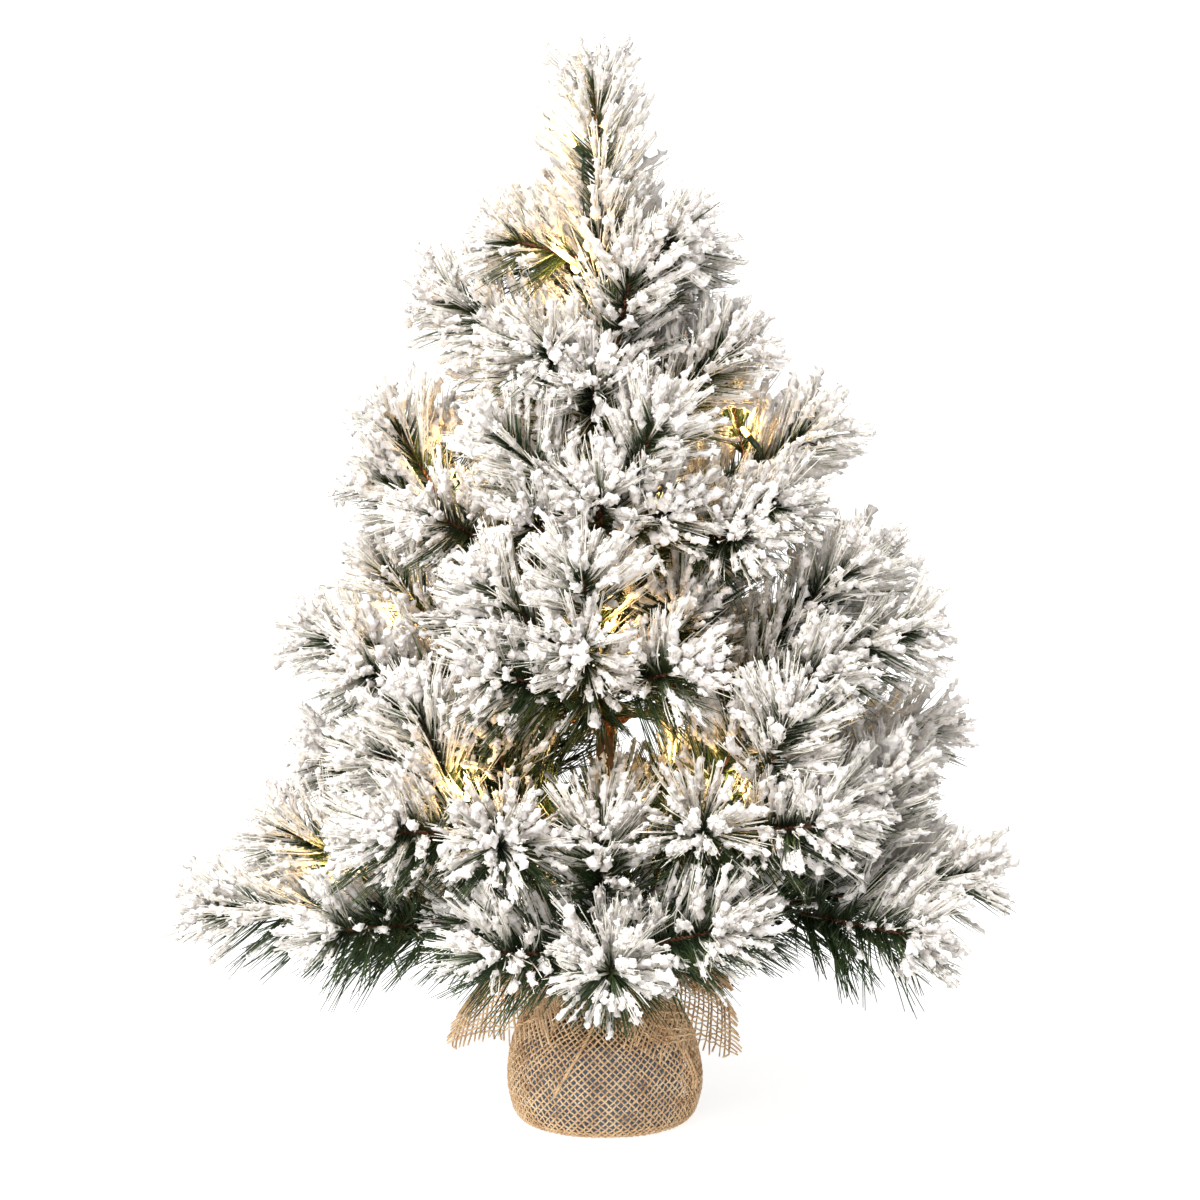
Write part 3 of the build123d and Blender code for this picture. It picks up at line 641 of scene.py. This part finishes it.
def add_crumbs(shape, rng, place, radius):
    """Small uneven lumps of flock at the given points."""
    uneven = rng.uniform(0.8, 1.2, (len(place), len(ICO_POINTS), 1))
    verts = place[:, None] + ICO_POINTS[None] * radius[:, None, None] * uneven
    faces = ICO_FACES[None] + (np.arange(len(place)) * len(ICO_POINTS))[:, None, None]
    shape.add(verts, tris=faces)


def add_dust(shape, rng, lines, frost):
    """Crumbs of flock that stick to frosted needles."""
    weight = np.clip(frost[:, 2], 0.02, 1) ** 2
    pick = rng.choice(len(lines), DUST_CRUMBS, p=weight / weight.sum())
    share = rng.random(DUST_CRUMBS)[:, None]
    place = lines[pick, 1] * (1 - share) + lines[pick, 3] * share
    add_crumbs(shape, rng, place, rng.uniform(0.5, 1.1, DUST_CRUMBS) * MM)


def segment_distance(start, run, other_start, other_run):
    """Distances of many segments, as start and run, from one other segment."""
    gap = start - other_start
    a, e = (run ** 2).sum(-1), (other_run ** 2).sum()
    b, c, f = run @ other_run, (run * gap).sum(-1), gap @ other_run
    share = np.clip((b * f - c * e) / np.maximum(a * e - b * b, 1e-12), 0, 1)
    other = np.clip((b * share + f) / e, 0, 1)
    share = np.clip((b * other - c) / a, 0, 1)
    apart = gap + run * share[:, None] - other_run * other[:, None]
    return np.linalg.norm(apart, axis=-1)


def depth_in_tree(points):
    """How far points lie inside the tree's outline, which is nearly a cone."""
    outline = 0.23 - 0.4 * (points[:, 2] - 0.12)
    return outline - np.hypot(points[:, 0], points[:, 1])


def foliage(name, body, tufts, seed, reach, replaces=()):
    """Needles and flock round every wire of one branch, parted in front of the lamps. The flock
    is sprayed from outside and above, so inner and lower needles stay greener."""
    rng = np.random.default_rng(seed)
    needles, flock = Shape(), Shape()
    for number, (root, end) in enumerate(tufts):
        if number == 0:
            root = root - unit(end - root) * ROOT_FRINGE
        start, direction, size, share, axis = bundles(rng, root, end, reach)
        clear = np.ones(len(start), bool)
        for lamp_at, way in LAMP_WAYS:
            clear &= segment_distance(start, direction * size[:, None], lamp_at, way) > LAMP_CLEARING
        start, direction, size, share, axis = (part[clear] for part in (start, direction, size, share, axis))
        tip = start + direction * size[:, None]
        outward = unit(tip * np.array([1, 1, 0]))
        open_side = 0.75 * direction[:, 2] + 0.36 * (direction * outward).sum(-1)
        inner = smoothstep(10 * MM, 110 * MM, depth_in_tree(tip))
        snow = open_side + 0.4 * (share - 0.4) - 0.75 * inner + rng.normal(0, 0.2, len(start))
        frost = smoothstep(-0.7, 0.9, snow)
        lines, shade = add_needles(needles, rng, start, direction, size, axis, frost)
        heavy = smoothstep(-0.25, 0.45, snow)
        chosen = heavy > HEAVY_ENOUGH
        begin = size * (0.8 - 0.4 * heavy + rng.normal(0, 0.07, len(size)))
        finish = size * (0.98 + 0.08 * rng.random(len(size)))
        fat = FLOCK_R * (0.5 + 0.5 * heavy) * rng.uniform(0.7, 1.25, len(size))
        add_fingers(flock, rng, start[chosen], direction[chosen], begin[chosen], finish[chosen], fat[chosen])
        add_dust(flock, rng, lines, shade)
    piece(needles, name + "_foil_needles", body, NEEDLES, replaces)
    piece(flock, name + "_flock", body, FLOCK)


# ---- branch wires and lamps ------------------------------------------------------
def stem_shape(main_start, main_end, tufts):
    """Two-strand twisted wires along a branch and its twigs."""
    shape = Shape()
    runs = [(main_start, main_end, 0.85)]
    for root, end in tufts[1:]:
        runs.append((foot_on(main_start, main_end, root, unit(end - root)), end, 0.68))
    for start, end, strand in runs:
        count = int(np.linalg.norm(end - start) / (1.1 * MM))
        line = start + (end - start) * np.linspace(0, 1, count)[:, None]
        for strand_line in twisted(line, strand * 0.9 * MM, WIRE_TWIST):
            add_path(shape, strand_line, strand * MM, 6)
    return shape


LOOP_OUT = 2.95 * MM           # wire loops stand this far to each side of a bend
LOOP_R = 1.58 * MM
LOOP_HALF = 0.72 * MM
LOOP_POINTS = 40


def add_bend(shape, joint, along):
    """Wire loops of a branch round its cross wire, and the arms to the branch."""
    root = np.array(joint["pos_m"])
    pin = unit(joint["axis"])
    turns = np.linspace(0, 2.0 * tau, LOOP_POINTS)[:, None]
    drift = np.linspace(-LOOP_HALF, LOOP_HALF, LOOP_POINTS)[:, None]
    second = np.cross(pin, along)
    for sign in (-1, 1):
        middle = root + pin * sign * LOOP_OUT
        loop = middle + (along * np.cos(turns) + second * np.sin(turns)) * LOOP_R + pin * drift
        add_path(shape, loop, 0.55 * MM, 6)
        arm_end = root + along * 6.4 * MM + pin * sign * 0.7 * MM
        arm = smooth_path([loop[-1], middle + along * 4.2 * MM, arm_end], 0.8 * MM)
        add_path(shape, arm, 0.6 * MM, 6)


# outlines of a lamp's holder and lens, as radius and height in millimetres
HOLDER = [
    (0, -1.3), (1.25, -1.3), (1.55, -0.6), (1.6, 1.5), (1.95, 1.9), (1.95, 2.7), (1.7, 3.0),
    (1.75, 8.6), (2.0, 9.0), (2.0, 9.7), (1.7, 10.0), (0, 10.0),
]
BULB = [
    (0, 0.0), (1.45, 0.0), (1.6, 0.5), (1.55, 2.6), (1.4, 4.2), (1.05, 5.3), (0.55, 5.9), (0, 6.0),
]


def lamp(holders, lenses, rim, direction, body, name):
    """Holder and lens of one lamp, with the light that it throws."""
    add_lathe(holders, np.array(HOLDER) * MM, rim - direction * HOLDER_H, direction, 16)
    add_lathe(lenses, np.array(BULB) * MM, rim, direction, 16)
    glow = bpy.data.lights.new(name + "_glow", "POINT")
    glow.energy = LAMP_LIGHT_W
    glow.color = LAMP_GLOW
    glow.shadow_soft_size = 3 * MM
    obj = new_object(name + "_glow", glow)
    obj.location = Vector(rim + direction * 9 * MM)
    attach(obj, body)


def lamp_string(name, node, body, up, start, prefix=()):
    """Twin wire, holders and lenses of one string."""
    lens_parts = lens_parts_of(node, start)
    holders, lenses, wires = Shape(), Shape(), Shape()
    route = list(prefix) + [start]
    for index, points in enumerate(lens_parts):
        heights = points @ up
        rim = points.mean(0) + up * (heights.min() - points.mean(0).dot(up))
        foot = rim - up * HOLDER_H
        lamp(holders, lenses, rim, up, body, f"{name}_{index + 1}")
        before = route[-1]
        side = unit(np.cross(foot - before, up))
        for share, sway in ((0.35, 1.2), (0.7, -1.0)):
            route.append(before + (foot - before) * share + side * sway * MM)
        route.append(foot)
    line = smooth_path(route, 1.6 * MM)
    for strand in twisted(line, 0.5 * MM, LAMP_WIRE_TWIST):
        add_path(wires, strand, 0.48 * MM, 6)
    piece(wires, name + "_wire", body, WIRE_GREEN, (node,))
    piece(holders, name + "_holders", body, HOLDER_GREEN)
    piece(lenses, name + "_lenses", body, LENS)


def build_branch(joint, seed):
    """Everything that rides on one branch."""
    name = joint["child"]
    root = np.array(joint["pos_m"])
    tufts = tufts_of(name + "_needles", root)
    along = unit(tufts[0][1] - root)
    up = np.cross(unit(joint["axis"]), along)
    tier_reach = NEEDLE * (1.02 - 0.2 * root[2] / 0.45)
    foliage(name, name, tufts, seed, tier_reach, (name + "_needles",))
    wires = stem_shape(root + along * 5.2 * MM, tufts[0][1], tufts)
    add_bend(wires, joint, along)
    piece(wires, name + "_wires", name, STEM, (name + "_stem",))
    if name + "_lights" in frame["nodes"]:
        start = root + along * LIGHT_START[0] + up * LIGHT_START[1]
        lamp_string(name + "_string", name + "_lights", name, up, start)


branch_joints = [j for j in frame["joints"] if j["type"] == "hinge"]
for number, branch_joint in enumerate(branch_joints):
    build_branch(branch_joint, 100 + number)


# ---- leader and trunk ------------------------------------------------------------
TRUNK_TOP = 360 * MM
LEADER_LAMP_AZIMUTH, LEADER_LAMP_RISE = radians(232), radians(35)
LEAD_R = 7.25 * MM             # the lead's distance from the trunk's axis


def polar(radius, azimuth, height):
    """A point by radius and azimuth in degrees."""
    return np.array([radius * cos(radians(azimuth)), radius * sin(radians(azimuth)), height])


def leader():
    """Leader wire, its twigs and foliage, its lamps, and the lead that feeds the strings."""
    foot = np.array([0.0, 0.0, TRUNK_TOP])
    tufts = tufts_of("leader_needles", foot)
    top = tufts[0][1]
    foliage("leader", "base", tufts[:7], 90, NEEDLE * 0.94, ("leader_needles",))
    foliage("leader_side", "base", tufts[7:], 91, NEEDLE * 0.88)
    piece(stem_shape(foot, top, tufts), "leader_wires", "base", STEM, ("leader_stem",))
    outward = np.array([cos(LEADER_LAMP_AZIMUTH) * cos(LEADER_LAMP_RISE),
                        sin(LEADER_LAMP_AZIMUTH) * cos(LEADER_LAMP_RISE), sin(LEADER_LAMP_RISE)])
    lead = [(4, 66, 54), (4, 66, 62), (4, 64, 73), (3, 49, 91), (2, 29, 103), (1, 14, 108)]
    lead = [np.array(p) * MM for p in lead]
    lead += [polar(LEAD_R, 88, h * MM) for h in (116, 156, 194)]
    lead += [polar(LEAD_R, 38, h * MM) for h in (214, 260, 306, 350)]
    lead += [polar(10 * MM, 300, 372 * MM), polar(12 * MM, 240, 396 * MM)]
    lamp_string("leader_string", "trunk_lights", "base", outward, polar(12.5 * MM, 232, 440 * MM), lead)


leader()


# ---- burlap wrap -----------------------------------------------------------------
YARN_R = 0.56 * MM
YARN_PITCH = 3.0 * MM
WEAVE = 0.42 * MM              # yarns pass this far over and under the cloth's middle
SACK_YARNS = 76
# radius and height in millimetres, from the foot to the ruff above the twine
SACK_OUTLINE = [
    (45.2, 1.0), (48.6, 3.4), (51.6, 9), (53.6, 26), (51.6, 42), (46.8, 55), (37, 67), (26.5, 77),
    (19.8, 84.0), (18.4, 88.5), (20.5, 92.5), (25.5, 97.5),
]
# azimuth, reach and height of the tip in millimetres, sideways tilt, droop of the edges
WINGS = (
    (-42, 94, 53, 0.25, 0.35), (205, 95, 53, -0.2, 0.3), (142, 86, 64, 0.1, 0.3), (38, 86, 64, -0.1, 0.3),
)
WING_LENGTH = 92 * MM          # from a corner's tip to the twine, along the cloth


def yarn_radius(rng, shape):
    """Radius along yarns, thicker and thinner in places."""
    tubes, points = shape
    knots = rng.normal(0, 1, (tubes, points // 9 + 3))
    at = np.linspace(0, knots.shape[1] - 1.001, points)
    low = at.astype(int)
    blend = knots[:, low] * (1 - (at - low)) + knots[:, low + 1] * (at - low)
    return YARN_R * np.clip(1 + 0.17 * blend + rng.normal(0, 0.06, (tubes, 1)), 0.6, 1.6)


def sack_point(data, theta, s, lift):
    """A point of the sack by azimuth, distance along its outline, and height over the cloth."""
    path, along = data["path"], data["along"]
    r = np.interp(s, along, path[:, 0])
    z = np.interp(s, along, path[:, 1])
    slope_r = np.interp(s, along, np.gradient(path[:, 0], along))
    slope_z = np.interp(s, along, np.gradient(path[:, 1], along))
    # gathers, which start at half height and are pressed flat under the twine
    pressed = 1 - 0.72 * smoothstep(79 * MM, 85 * MM, z)
    gather = smoothstep(40 * MM, 76 * MM, z) * pressed + 1.1 * smoothstep(90 * MM, 97 * MM, z)
    pleat = np.sin(11 * theta + 0.7 * np.sin(3 * theta + 1.0)) + 0.45 * np.sin(23 * theta + 1.3 + 9 * z)
    folds = 2.4 * MM * gather * pleat
    # broad slack folds low down
    low = smoothstep(4 * MM, 22 * MM, z) * (1 - smoothstep(58 * MM, 74 * MM, z))
    folds += low * MM * (1.0 * np.sin(2 * theta + 0.9) + 0.8 * np.sin(5 * theta + 40 * z + 2.0))
    # the crease on the left of the front, and the overlapping edge on its right
    reach = smoothstep(16 * MM, 34 * MM, z) * (1 - smoothstep(80 * MM, 86 * MM, z))
    for azimuth, side in ((crease_azimuth(z), -1), (edge_azimuth(z), 1)):
        turn = side * np.arctan2(np.sin(theta - azimuth), np.cos(theta - azimuth))
        slack = 1.4 * np.exp(-(turn / 0.42) ** 2) * (turn < 0)
        step = (1.9 * np.exp(-(turn / 0.05) ** 2) - 0.5 * np.exp(-((turn - 0.2) / 0.14) ** 2)) * (turn >= 0)
        folds += reach * MM * (slack + step)
    radius = r + (folds + lift) * slope_z
    height = z - (folds + lift) * slope_r
    return np.stack([radius * np.cos(theta), radius * np.sin(theta), np.maximum(height, 0.62 * MM)], -1)


def edge_azimuth(z):
    """Azimuth of the cloth's overlapping edge, which runs down to the right of the front."""
    return np.radians(np.interp(z, [30 * MM, 60 * MM, 84 * MM], [-27, -41, -58]))


def crease_azimuth(z):
    """Azimuth of the crease, which runs down to the left of the front."""
    return np.radians(np.interp(z, [24 * MM, 60 * MM, 84 * MM], [-121, -99, -68]))


def sack(shape, rng):
    """The gathered sack: two families of yarns that climb it left and right on the bias."""
    path = smooth_path(np.array([(r, 0, z) for r, z in SACK_OUTLINE]) * MM, 0.8 * MM)[:, [0, 2]]
    along = np.concatenate([[0], np.cumsum(np.linalg.norm(np.diff(path, axis=0), axis=1))])
    data = {"path": path, "along": along}
    # the bias angle closes up towards the neck, where the gathers draw the yarns upright
    lean = np.radians(np.interp(path[:, 1], [0, 55 * MM, 82 * MM, 98 * MM], [46, 45, 26, 18]))
    sweep = np.concatenate([[0], np.cumsum(np.diff(along) * np.tan(lean[1:]) / path[1:, 0])])
    s = np.arange(0, along[-1], 0.64 * MM)
    climb = np.interp(s, along, sweep)
    for sign in (1, -1):
        start = np.arange(SACK_YARNS) * tau / SACK_YARNS
        phase = rng.uniform(0, tau, (SACK_YARNS, 1))
        wander = rng.normal(0, 0.05, (SACK_YARNS, 1)) + 0.06 * np.sin(s / (11 * MM) + phase)
        theta = start[:, None] + sign * climb + wander * tau / SACK_YARNS
        lift = sign * WEAVE * np.cos(SACK_YARNS * climb)
        rows = np.broadcast_to(s, theta.shape)
        points = sack_point(data, theta, rows, lift)
        frayed = points[:, -6:] * 1.0
        frayed[:, :, :2] *= 1 + 0.012 * rng.normal(0, 1, (SACK_YARNS, 6, 1)).cumsum(1)
        points[:, -6:] = frayed
        add_tubes(shape, points, yarn_radius(rng, theta.shape), 4)
    return data


def selvage(shape, data):
    """Twisted edge yarns along the overlap, and one along the crease."""
    z = np.linspace(24 * MM, 86 * MM, 130)
    s = np.interp(z, data["path"][:, 1], data["along"])
    rows = (
        (edge_azimuth, 0.0, 1.7), (edge_azimuth, 0.03, 1.3), (edge_azimuth, -0.03, 1.3),
        (crease_azimuth, 0.0, 1.7),
    )
    for azimuth, offset, rise in rows:
        line = sack_point(data, azimuth(z) + offset, s, rise * MM + 0 * z)
        for strand in twisted(line, 0.42 * MM, 5 * MM):
            add_path(shape, strand, 0.55 * MM, 5)


def underside(shape, rng):
    """Plain weave under the pot."""
    reach = 45 * MM
    count = int(reach / YARN_PITCH)
    for axis in (0, 1):
        lines = []
        for index in range(-count, count + 1):
            aside = index * YARN_PITCH
            half = sqrt(reach ** 2 - aside ** 2)
            run = np.linspace(-half, half, 121)
            over = np.cos(pi * run / YARN_PITCH) * (-1) ** index * (1 if axis else -1)
            line = np.stack([run, np.full_like(run, aside), 1.02 * MM + 0.4 * MM * over], -1)
            lines.append(line if axis == 0 else line[:, [1, 0, 2]])
        add_tubes(shape, lines, yarn_radius(rng, (len(lines), 121)), 4)


def wing_point(wing, t, x, lift):
    """A point of a corner of the cloth: t from its tip along its middle, x across."""
    azimuth, reach, tip, skew, droop = wing
    crest = np.array([
        (reach, 0, tip), (reach * 0.86, 0, tip + 13), (reach * 0.66, 0, 84.5), (38, 0, 94),
        (24, 0, 94.5), (19.5, 0, 88), (19.2, 0, 83),
    ])
    crest = smooth_path(crest * MM, 0.8 * MM)[:, [0, 2]]
    along = np.concatenate([[0], np.cumsum(np.linalg.norm(np.diff(crest, axis=0), axis=1))])
    t = t * along[-1] / WING_LENGTH
    r, z = np.interp(t, along, crest[:, 0]), np.interp(t, along, crest[:, 1])
    draw = 1 - 0.83 * smoothstep(26 * MM, 84 * MM, t)
    aside = x * draw
    open_part = smoothstep(0, 30 * MM, t) * (1 - smoothstep(70 * MM, 86 * MM, t))
    ripple = (1.9 * np.sin(x / (8.5 * MM) + azimuth) + 1.1 * np.sin(x / (4.6 * MM) + 2 * azimuth)) * MM
    ripple *= smoothstep(14 * MM, 60 * MM, t) * (1 - 0.6 * smoothstep(78 * MM, 88 * MM, t)) + 0.25
    z = z + ripple + lift + skew * aside * open_part - droop * aside ** 2 / (34 * MM) * open_part
    turn = radians(azimuth) + aside / np.maximum(r, 17 * MM)
    return np.stack([r * np.cos(turn), r * np.sin(turn), z], -1)


def wing_cloth(shape, wing, rng):
    """Open square weave of one corner, with its frayed edges."""
    span = WING_LENGTH * sqrt(2)
    count = int(span / YARN_PITCH)
    for family in (0, 1):
        for index in range(count - 1):
            edge = (index + 0.5) * YARN_PITCH
            fringe = rng.uniform(3.5, 7.5) * MM
            run = np.arange(-fringe, span - edge, 0.75 * MM)
            loose = 1 - smoothstep(-1 * MM, 2 * MM, run)
            own = edge + rng.normal(0, 0.22) * MM + 0.25 * MM * np.sin(run / (9 * MM) + rng.uniform(0, tau))
            own = own + loose * rng.normal(0, 1.0) * MM * (-run / (6 * MM))
            over = np.cos(pi * (run / YARN_PITCH - 0.5)) * (-1) ** index * (1 if family else -1) * WEAVE
            over = over * (1 - loose) - loose * rng.uniform(0, 0.35) * np.minimum(run, 0) ** 2 / (8 * MM)
            p, q = (own, run) if family == 0 else (run, own)
            line = wing_point(wing, (p + q) / sqrt(2), (p - q) / sqrt(2), over)
            add_path(shape, line, yarn_radius(rng, (1, len(run)))[0], 5)


def burlap():
    """The burlap square: sack, underside and four spread corners, as woven yarns."""
    rng = np.random.default_rng(7)
    weave, edge = Shape(), Shape()
    data = sack(weave, rng)
    underside(weave, rng)
    selvage(edge, data)
    cloth = piece(weave, "burlap_wrap_sack", "base", BURLAP, ("burlap_wrap",))
    parts = [piece(edge, "burlap_wrap_selvage", "base", BURLAP)]
    for number, wing in enumerate(WINGS):
        shape = Shape()
        wing_cloth(shape, wing, rng)
        parts.append(piece(shape, f"burlap_wrap_corner_{number + 1}", "base", BURLAP))


def twine():
    """Three turns of three-strand twine round the neck, its two ends hanging at the back."""
    shape = Shape()
    turns = 3.12
    angle = np.linspace(0, turns * tau, int(turns * 150)) + radians(112)
    height = 83.6 * MM + 2.55 * MM * (angle - angle[0]) / tau
    radius = 20.2 * MM + 0.25 * MM * np.sin(3 * angle)
    line = np.stack([radius * np.cos(angle), radius * np.sin(angle), height], -1)
    for strand in twisted(line, 0.66 * MM, 6.5 * MM, 3):
        add_path(shape, strand, 0.62 * MM, 6)
    for tail in ((112, 83.6, -6, 17), (126, 91, 9, 20)):
        azimuth, low, sway, hang = tail
        points = [
            polar(21 * MM, azimuth, low * MM),
            polar(23.6 * MM, azimuth + sway * 0.5, (low + 1) * MM),
            polar(25.2 * MM, azimuth + sway, (low - hang * 0.4) * MM),
            polar(27.5 * MM, azimuth + sway * 1.4, (low - hang) * MM),
        ]
        for strand in twisted(smooth_path(points, 0.7 * MM), 0.6 * MM, 6 * MM, 3):
            add_path(shape, strand, 0.55 * MM, 6)
    piece(shape, "neck_twine_turns", "base", TWINE, ("neck_twine",))


burlap()
twine()


# ---- CAD pieces that keep their shape --------------------------------------------
KEPT = {
    "plastic_pot": POT, "cement_weight": CEMENT, "trunk_tape": TAPE, "trunk_pole": TAPE,
    "branch_bindings": BINDING, "battery_case": CASE, "battery_cover": CASE, "battery_cells": CELLS,
    "battery_contacts": CONTACT, "circuit_board": BOARD, "switch_knob": KNOB, "case_pad": PAD,
}
for node, material in KEPT.items():
    data = frame["nodes"][node].data
    data.materials.clear()
    data.materials.append(material)


# ---- stage, lights and camera ----------------------------------------------------
FLOOR_R = 40.0
FLOOR_SIDES = 64
SUN_POWER, SUN_SPREAD = 3.3, radians(18)
FRONT_POWER, BACK_POWER = 28, 8
WORLD_COLOUR, WORLD_POWER = (1.0, 0.985, 0.97, 1), 0.42


def backdrop():
    """Wide white floor."""
    turn = np.arange(FLOOR_SIDES) * tau / FLOOR_SIDES
    shape = Shape()
    rim = np.stack([FLOOR_R * np.cos(turn), FLOOR_R * np.sin(turn), 0 * turn], -1)
    k = np.arange(FLOOR_SIDES)
    fan = np.stack([k, (k + 1) % FLOOR_SIDES, 0 * k + FLOOR_SIDES], -1)
    shape.add(np.concatenate([rim, [[0, 0, 0]]]), tris=fan)
    look = Look("studio_paper", roughness=0.95)
    greys = (0.3, (0.44, 0.44, 0.44, 1)), (0.7, (0.47, 0.47, 0.47, 1))
    look.colour(look.ramp(look.noise(3, detail=1), *greys))
    look.set(Emission_Color=(1.0, 1.0, 1.0, 1.0), Emission_Strength=0.8)
    data = shape.mesh("studio_paper")
    data.materials.append(look.material)
    obj = new_object("studio_paper", data)


def softbox(name, place, target, size, power):
    """A square white light that faces the target."""
    light = bpy.data.lights.new(name, "AREA")
    light.energy = power
    light.size = size
    obj = new_object(name, light)
    obj.location = place
    aim(obj, Vector(target) - Vector(place))


def studio():
    """Soft light from all round, brighter from above and the front."""
    world = bpy.data.worlds.new("studio")
    world.use_nodes = True
    world.node_tree.nodes["Background"].inputs["Color"].default_value = WORLD_COLOUR
    world.node_tree.nodes["Background"].inputs["Strength"].default_value = WORLD_POWER
    bpy.context.scene.world = world
    bpy.context.scene.view_settings.view_transform = "Standard"
    sun = bpy.data.lights.new("sun", "SUN")
    sun.energy, sun.angle = SUN_POWER, SUN_SPREAD
    aim(new_object("sun", sun), (0.35, 0.75, -1.25))
    softbox("front", (-0.7, -1.9, 0.9), (0, 0, 0.3), 0.9, FRONT_POWER)
    softbox("back", (0.3, 1.7, 1.3), (0, 0, 0.3), 1.0, BACK_POWER)


CAMERA_DISTANCE = 2.6
CAMERA_RISE = radians(9)
LENS_MM, SENSOR_MM = 140, 36
LOOK_AT = Vector((-0.0028, 0, 0.297))


def camera():
    """Camera a little above the middle of the tree, in front of it."""
    data = bpy.data.cameras.new("camera")
    data.lens, data.sensor_width = LENS_MM, SENSOR_MM
    data.clip_start, data.clip_end = 0.1, 100
    obj = new_object("camera", data)
    back = Vector((0, -cos(CAMERA_RISE), sin(CAMERA_RISE)))
    obj.location = LOOK_AT + back * CAMERA_DISTANCE
    aim(obj, -back)
    bpy.context.scene.camera = obj


backdrop()
studio()
camera()
